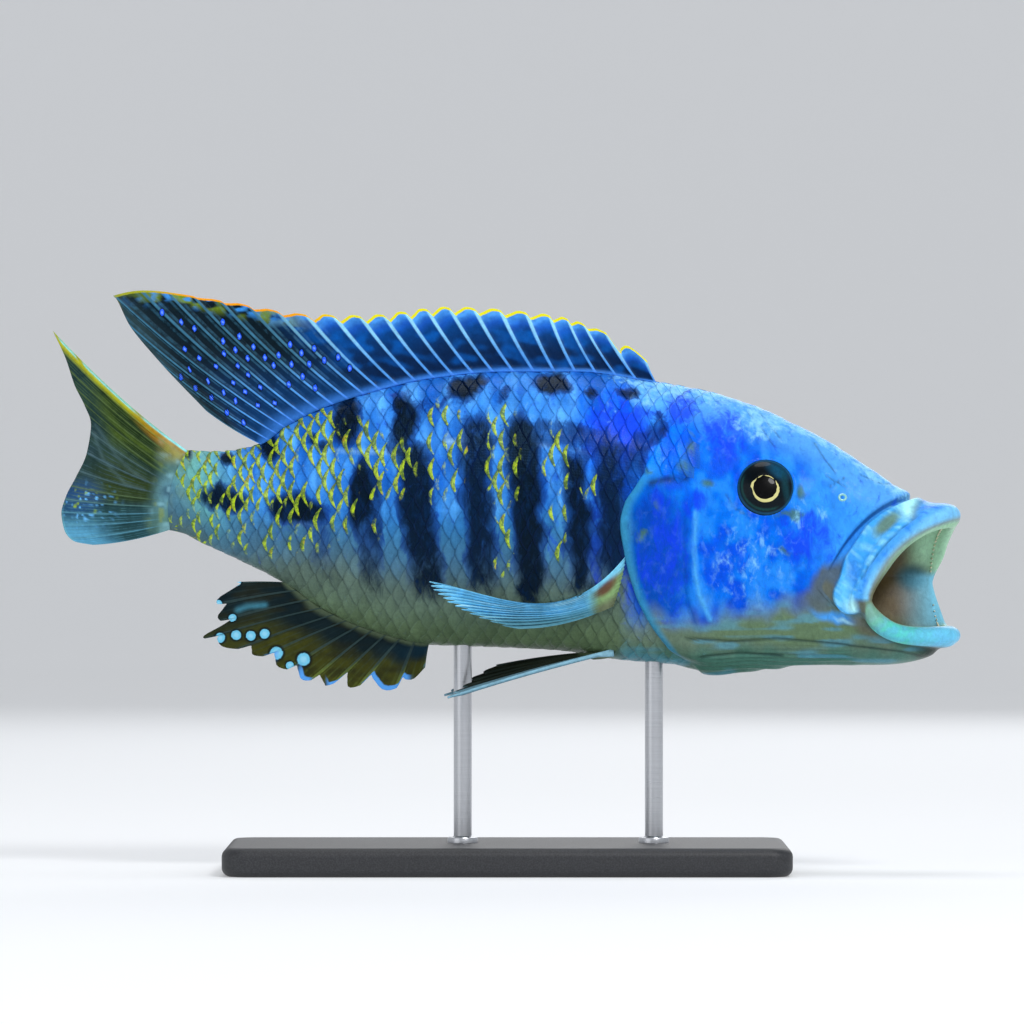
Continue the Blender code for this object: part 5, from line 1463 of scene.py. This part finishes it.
def seatOf(place, side):
    # a point of the skin, the way out of it, and the ways forward and up across it
    run, around = onRightSide(*place)
    around = around if side < 0 else 360 - around
    there = form(run, around)
    seat, ahead = bent(there), bent(there + outward(run, around))
    out = unit(ahead - seat)
    up = unit(np.array((0, 0, 1.0)) - out * out[2])
    return seat, out, unit(np.cross(up, out)) * (1 if side < 0 else -1), up


def eyeFinish():
    made, tree, shader = newFinish("eye_glass", Roughness=0.35, Coat_Weight=0.15, Coat_Roughness=0.02,
                                   Specular_IOR_Level=0.05)
    iris = painted(tree, "paint").outputs["Color"]
    fine = grain(objectPlace(tree), 1400.0, 5, 0.65, 0.8)
    value = fine * 1.2 + 0.4
    brush = shaded(tree, iris, value)
    gold = factor(tree, "gold")
    brush = blended(between(gold, 0.4, 0.6), brush, fixed(214, 208, 140))
    brush = blended(between(factor(tree, "pupil"), 0.45, 0.55), brush, fixed(1, 1, 2))
    plug(shader.inputs["Base Color"], brush)
    bumped(shader, gold, 0.00012, 0.6)
    return made


def makeEye(word, side, finish):
    # an ellipsoid about the way out of the head, with the pupil and its gold ring off its middle
    seat, out, forward, up = seatOf(eye["at"], side)
    polar = np.linspace(0, np.pi, eye["rings"])[:, None]
    turn = (np.arange(eye["segments"]) * 2 * np.pi / eye["segments"])[None, :]
    a = eye["radius"] * np.sin(polar) * np.cos(turn)
    b = eye["radius"] * np.sin(polar) * np.sin(turn)
    fromPupil = np.hypot(a - eye["pupilShift"][0], b - eye["pupilShift"][1])
    h = eye["depth"] * np.cos(polar) + 0 * turn + 0.25 * fade(3.0, 4.6, fromPupil) * (polar < 1.5)
    points = (seat - out * eye["sunk"] + a[..., None] * forward + b[..., None] * up + h[..., None] * out)
    r = np.hypot(a, b)
    paint = coated(
        (3, 16, 24),
        # a painted reflection: cloudy teal highlight on the eye's upper front
        (14, 74, 104), blot(a, b, (3.2, 4.2, 3.2, 1.8), 0.6, -35) * 0.9,
        (16, 60, 70), blot(a, b, (5.4, -0.5, 0.9, 4.5), 0.7, 8) * 0.8,
        (18, 66, 66), fade(0.0, 0.5, np.abs(r - 6.6)) * ease(-1, -5, a + b) * 0.9,
        (30, 96, 130), fade(0.0, 0.5, np.abs(r - 7.5)) * 0.55,
        (2, 4, 6), blot(a, b, (-1.5, 3.0, 3.5, 3.0), 0.6) * 0.6)
    lowRing = ease(-0.2, 1.0, (a * 0.35 - b) / np.maximum(r, 0.1))
    outer = eye["pupil"] + 0.26 + 0.56 * lowRing + 0.5 * blot(a, b, (-3.9, 0.2, 1.1, 1.1), 0.6)
    gold = ease(eye["pupil"] - 0.15, eye["pupil"] + 0.05, fromPupil)
    gold = gold * fade(outer - 0.2, outer + 0.25, fromPupil)
    gold = gold * (0.8 + 0.2 * lowRing)
    pupil = fade(eye["pupil"] - 0.2, eye["pupil"] + 0.2, fromPupil)
    rows, count = points.shape[:2]
    faces = gridFaces(rows, count, closed=True)
    if side > 0:
        faces = faces[:, ::-1]
    flat = lambda x: x.reshape((-1,) + x.shape[2:])
    made = newPiece("fine_eye_" + word, flat(points), [faces], finish,
                    attributes=dict(paint=flat(withAlpha(paint, 1.0)), gold=flat(gold), pupil=flat(pupil)))
    closePoles(made)
    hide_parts("eye_" + word)
    return made


def closePoles(made):
    # merges the points that share a pole, and turns every face outwards
    shell = bmesh.new()
    shell.from_mesh(made.data)
    bmesh.ops.remove_doubles(shell, verts=shell.verts, dist=1e-7)
    bmesh.ops.recalc_face_normals(shell, faces=shell.faces)
    shell.to_mesh(made.data)
    shell.free()


def makeNostril(word, side, finish):
    # a small torus set in the snout's skin
    seat, out, forward, up = seatOf(nostril["at"], side)
    turns, sides = nostril["turns"], nostril["sides"]
    turn, tube = np.meshgrid(np.arange(turns) * 2 * np.pi / turns, np.arange(sides) * 2 * np.pi / sides,
                             indexing="ij")
    r = nostril["radius"] + nostril["tube"] * np.cos(tube)
    points = (seat + (r * np.cos(turn) * nostril["oval"])[..., None] * forward + (r * np.sin(turn))[..., None]
              * up + (nostril["tube"] * np.sin(tube))[..., None] * out)
    i, j = np.meshgrid(np.arange(turns), np.arange(sides), indexing="ij")
    k, m = (i + 1) % turns, (j + 1) % sides
    faces = np.stack([i * sides + j, k * sides + j, k * sides + m, i * sides + m], axis=-1).reshape(-1, 4)
    if side > 0:
        faces = faces[:, ::-1]
    made = newPiece("nostril_ring_" + word, points.reshape(-1, 3), [faces], finish)
    return made


def speckledFinish(name, scale, low, high, depth, strength, **values):
    # two close tones mixed by fine noise, which also roughens the surface
    made, tree, shader = newFinish(name, **values)
    fine = grain(objectPlace(tree), scale, 3)
    plug(shader.inputs["Base Color"], blended(fine, fixed(*low), fixed(*high)))
    bumped(shader, fine, depth, strength)
    return made


# Teeth: one row of small cones inside each lip
teeth = dict(upper=(-84.0, 84.0, 37), lower=(118.0, 242.0, 31), height=1.15, radius=0.30, sides=7, run=1.86,
             lean=-0.28, levels=((0.0, 1.0), (0.35, 0.86), (0.7, 0.5), (0.93, 0.16)))


def makeTeeth(finish):
    # each is a ring of shrinking circles to a tip, set on the lip's inner side and leaning into the mouth
    turns = np.concatenate([np.linspace(*teeth["upper"]), np.linspace(*teeth["lower"])]) % 360
    wobble = np.random.default_rng(91).normal(0, 1, (len(turns), 2))
    run = teeth["run"]
    root = form(run, turns) + outward(run, turns) * (pieceLift(run, turns) - 0.1)[:, None]
    _, facing, out = rimFrame(turns)
    way = unit(-out + facing * (teeth["lean"] + 0.06 * wobble[:, :1]))
    side = unit(np.cross(way, facing))
    front = np.cross(side, way)
    height = teeth["height"] * (1 + 0.12 * wobble[:, 1])
    spin = np.arange(teeth["sides"]) * 2 * np.pi / teeth["sides"]
    up, wide = np.array(teeth["levels"]).T
    ring = (np.cos(spin)[:, None] * side[:, None, None, :] + np.sin(spin)[:, None] * front[:, None, None, :])
    points = (root[:, None, None, :] + (height[:, None] * up)[..., None, None] * way[:, None, None, :]
              + (teeth["radius"] * wide)[None, :, None, None] * ring)
    tips = root + way * height[:, None]
    roots = root - way * 0.2
    per = len(up) * teeth["sides"]
    k = np.arange(teeth["sides"])
    one = gridFaces(len(up), teeth["sides"], closed=True)
    first = (np.arange(len(turns)) * per)[:, None, None]
    sides = (one[None] + first).reshape(-1, 4)
    last = per - teeth["sides"]
    total = len(turns) * per
    peak = np.broadcast_to((total + np.arange(len(turns)))[:, None], (len(turns), len(k)))
    foot = peak + len(turns)
    ahead = (k + 1) % teeth["sides"]
    caps = np.stack([k + last + first[:, :, 0], ahead + last + first[:, :, 0], peak], axis=-1).reshape(-1, 3)
    bases = np.stack([ahead + first[:, :, 0], k + first[:, :, 0], foot], axis=-1).reshape(-1, 3)
    made = newPiece("teeth", bent(np.concatenate([points.reshape(-1, 3), tips, roots])), [sides, caps, bases],
                    finish)
    closePoles(made)
    return made


# Display stand
stand = dict(plate=(156.0, 84.0, 8.0), rounding=2.5, cornerRound=6.0, rodRadius=2.5,
             rods={"front": 41.0, "rear": -12.0}, rodInBelly=6.0, rodInPlate=5.0, collar=(4.2, 1.6),
             rodSides=64, faceInset=3.4, sharpOver=35)


def plateFinish():
    made, tree, shader = newFinish("stand_charcoal", Specular_IOR_Level=0.45)
    place = objectPlace(tree)
    speckle = grain(place, 2400.0, 3, 0.7)
    cloudy = grain(place, 60.0, 3, 0.5)
    brush = blended(between(speckle, 0.35, 0.75), fixed(34, 35, 38), fixed(58, 59, 62))
    brush = blended(cloudy * 0.25, brush, fixed(46, 48, 54))
    plug(shader.inputs["Base Color"], brush)
    plug(shader.inputs["Roughness"], speckle * 0.25 + 0.38)
    bumped(shader, speckle, 6e-05, 0.5)
    return made


def steelFinish():
    made, tree, shader = newFinish("stand_steel", Metallic=1.0)
    brushed = grain(objectPlace(tree, (1.0, 1.0, 60.0)), 60.0, 4, 0.7)
    brush = blended(brushed, fixed(176, 178, 182), fixed(206, 208, 212))
    plug(shader.inputs["Base Color"], brush)
    plug(shader.inputs["Roughness"], brushed * 0.22 + 0.2)
    bumped(shader, brushed, 3e-05, 0.5)
    return made


def makePlate(finish):
    # a rounded rectangle carried up a profile with quarter-round edges, closed by fans at both faces
    length, width, height = stand["plate"]
    edge, corner = stand["rounding"], stand["cornerRound"]
    quarter = np.linspace(0, np.pi / 2, 16)
    inX, inY = length / 2 - corner, width / 2 - corner
    outline = np.concatenate([np.stack([sx * inX + corner * np.cos(quarter + turn),
                                        sy * inY + corner * np.sin(quarter + turn)], axis=-1)
                              for sx, sy, turn in ((1, 1, 0), (-1, 1, np.pi / 2), (-1, -1, np.pi),
                                                   (1, -1, 1.5 * np.pi))])
    bend = np.linspace(0, np.pi / 2, 9)
    inset = np.concatenate([[corner, stand["faceInset"]], edge * (1 - np.sin(bend)),
                            edge * (1 - np.cos(bend)), [stand["faceInset"], corner]])
    level = np.concatenate([[0, 0], edge * (1 - np.cos(bend)), height - edge + edge * np.sin(bend),
                            [height, height]])
    shrink = 1 - inset[:, None, None] / np.array((length / 2, width / 2))
    heights = np.broadcast_to(level[:, None, None], (len(level), len(outline), 1))
    rings = np.concatenate([outline[None] * shrink, heights], axis=-1)
    rows, count = rings.shape[:2]
    k = np.arange(count)
    low, high = rows * count, rows * count + 1
    caps = [np.stack([np.full(count, low), (k + 1) % count, k], axis=-1),
            np.stack([(rows - 1) * count + k, (rows - 1) * count + (k + 1) % count, np.full(count, high)],
                     axis=-1)]
    points = np.concatenate([rings.reshape(-1, 3), [[0, 0, 0], [0, 0, height]]])
    made = newPiece("fine_stand_base", points, [gridFaces(rows, count, closed=True), *caps], finish)
    made.data.set_sharp_from_angle(angle=math.radians(stand["sharpOver"]))
    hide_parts("stand_base")
    return made


def makeRod(word, place, finish):
    # a turned rod with a low collar where it leaves the plate: a profile spun about its axis
    foot = bent(np.array([place, 0.0, 0.0]))
    low, high = stand["plate"][2] - stand["rodInPlate"], float(bellyLine(place)) + stand["rodInBelly"]
    radius, top = stand["rodRadius"], stand["plate"][2]
    wide, tall = stand["collar"]
    profile = np.array(((0, low), (radius, low), (radius, top - 0.02), (wide, top - 0.02),
                        (wide, top + tall - 0.5), (wide - 0.15, top + tall - 0.15), (wide - 0.5, top + tall),
                        (radius + 0.3, top + tall), (radius, top + tall + 0.3), (radius, high), (0, high)))
    sides = stand["rodSides"]
    turn = np.arange(sides) * 2 * np.pi / sides
    points = np.stack([foot[0] + profile[:, :1] * np.cos(turn), foot[1] + profile[:, :1] * np.sin(turn),
                       profile[:, 1:] + 0 * turn], axis=-1)
    made = newPiece("fine_stand_rod_" + word, points.reshape(-1, 3),
                    [gridFaces(len(profile), sides, closed=True)], finish)
    closePoles(made)
    made.data.set_sharp_from_angle(angle=math.radians(stand["sharpOver"]))
    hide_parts("stand_rod_" + word)
    return made


# Floor, light and camera
studio = dict(
    floorRadius=3.6, wallRadius=5.2, wallHeight=4.5, spokes=96, floorRings=20, bendRings=24,
    paper=(212, 214, 217),
    cameraDistance=2400.0, cameraX=1.29, cameraZ=99.64, frameWidth=283.9, sensor=36.0,
    sky=(0.80, 0.84, 0.90, 1), skyStrength=0.30, aim=(0.01, 0.0, 0.10),
    # place, size and watts
    lights=dict(key_light=((0.55, -1.25, 1.15), 0.45, 14.0), fill_light=((-1.2, -1.1, 0.45), 1.2, 2.5),
                top_light=((0.0, 0.15, 1.4), 0.7, 6.0), back_light=((0.3, 1.5, 0.9), 1.1, 6.0)),
)


def paperFinish():
    made, tree, shader = newFinish("backdrop_paper", Roughness=0.9, Specular_IOR_Level=0.2,
                                   Emission_Strength=0.27, Emission_Color=(1.0, 1.0, 1.0, 1.0))
    cloudy = grain(objectPlace(tree), 1.2, 3, 0.5)
    red, green, blue = studio["paper"]
    brush = blended(cloudy, fixed(red, green, blue), fixed(red - 5, green - 4, blue - 3))
    plug(shader.inputs["Base Color"], brush)
    return made


def makeBackdrop(finish):
    # a round floor that sweeps up into a wall, so that every view has a seamless ground
    t = np.linspace(0, np.pi / 2, studio["bendRings"])[1:]
    flat, spokes = studio["floorRings"], studio["spokes"]
    bendRadius = studio["wallRadius"] - studio["floorRadius"]
    r = np.concatenate([np.linspace(0.02, studio["floorRadius"], flat),
                        studio["floorRadius"] + bendRadius * np.sin(t), [studio["wallRadius"]]])
    z = np.concatenate([np.zeros(flat), bendRadius * (1 - np.cos(t)), [studio["wallHeight"]]])
    turn = np.arange(spokes) * 2 * np.pi / spokes
    points = np.stack([r[:, None] * np.cos(turn), r[:, None] * np.sin(turn), z[:, None] + 0 * turn], axis=-1)
    points = np.concatenate([points.reshape(-1, 3), [[0, 0, 0]]]) / mm
    k = np.arange(spokes)
    cap = np.stack([np.full(spokes, len(points) - 1), k, (k + 1) % spokes], axis=-1)
    made = newPiece("backdrop", points, [gridFaces(len(r), spokes, closed=True)[:, ::-1], cap], finish)
    made.parent = None
    return made


def addLight(name, place, size, power):
    lamp = bpy.data.lights.new(name, "AREA")
    lamp.shape, lamp.size, lamp.energy, lamp.color = "DISK", size, power, (1, 1, 1)
    made = bpy.data.objects.new(name, lamp)
    bpy.context.scene.collection.objects.link(made)
    made.location = place
    made.rotation_euler = (Vector(studio["aim"]) - Vector(place)).to_track_quat("-Z", "Y").to_euler()


def setStudio():
    world = bpy.data.worlds.new("studio")
    world.use_nodes = True
    sky = world.node_tree.nodes["Background"]
    sky.inputs[0].default_value = studio["sky"]
    sky.inputs[1].default_value = studio["skyStrength"]
    bpy.context.scene.world = world
    for name, settings in studio["lights"].items():
        addLight(name, *settings)
    camera = bpy.data.cameras.new("camera")
    camera.sensor_width = studio["sensor"]
    camera.lens = studio["sensor"] * studio["cameraDistance"] / studio["frameWidth"]
    camera.clip_start, camera.clip_end = 0.05, 20.0
    made = bpy.data.objects.new("camera", camera)
    bpy.context.scene.collection.objects.link(made)
    made.location = (studio["cameraX"] * mm, -studio["cameraDistance"] * mm, studio["cameraZ"] * mm)
    made.rotation_euler = (math.radians(90), 0, 0)
    bpy.context.scene.camera = made
    bpy.context.scene.view_settings.view_transform = "Standard"


print("skin")
skinCoat = skinFinish("fish_skin", False)
makeSkin(skinCoat)
print("scales")
scaleCoat = skinFinish("fish_scales", True)
makeScales("scales_right", -1, scaleCoat, 11)
makeScales("scales_left", 1, scaleCoat, 12)
print("fins")
spinyFinish = finFinish("dorsal_membrane", 0.03, 0.08, 2.0, 0.34)
makeDorsal(spinyFinish)
makeAnal(finFinish("anal_membrane", 0.05, 0.05, 3.0, 0.25, 0.7, 1.3))
makeCaudal(finFinish("tail_membrane", 0.03, 0.05, 4.0, 0.55, 0.8, 0.6))
pectoralFinish = finFinish("pectoral_membrane", 0.10, 0.12, 3.0, 0.6, 0.9, 0.5)
pelvicFinish = finFinish("pelvic_membrane", 0.06, 0.06, 3.0, 0.4, 0.8, 0.6)
for word, side in (("right", -1), ("left", 1)):
    makePectoral(word, side, pectoralFinish)
    makePelvic(word, side, pelvicFinish)
print("eyes")
glass = eyeFinish()
ringSkin = speckledFinish("nostril_skin", 2200.0, (150, 214, 206), (110, 184, 196), 0.0001, 0.5,
                          Roughness=0.35, Coat_Weight=0.3)
for word, side in (("right", -1), ("left", 1)):
    makeEye(word, side, glass)
    makeNostril(word, side, ringSkin)
makeTeeth(speckledFinish("tooth_ivory", 1800.0, (214, 206, 172), (236, 232, 210), 0.00005, 0.4,
                         Roughness=0.3, Coat_Weight=0.4))
print("stand and studio")
makePlate(plateFinish())
steel = steelFinish()
for word, place in stand["rods"].items():
    makeRod(word, place, steel)
makeBackdrop(paperFinish())
setStudio()
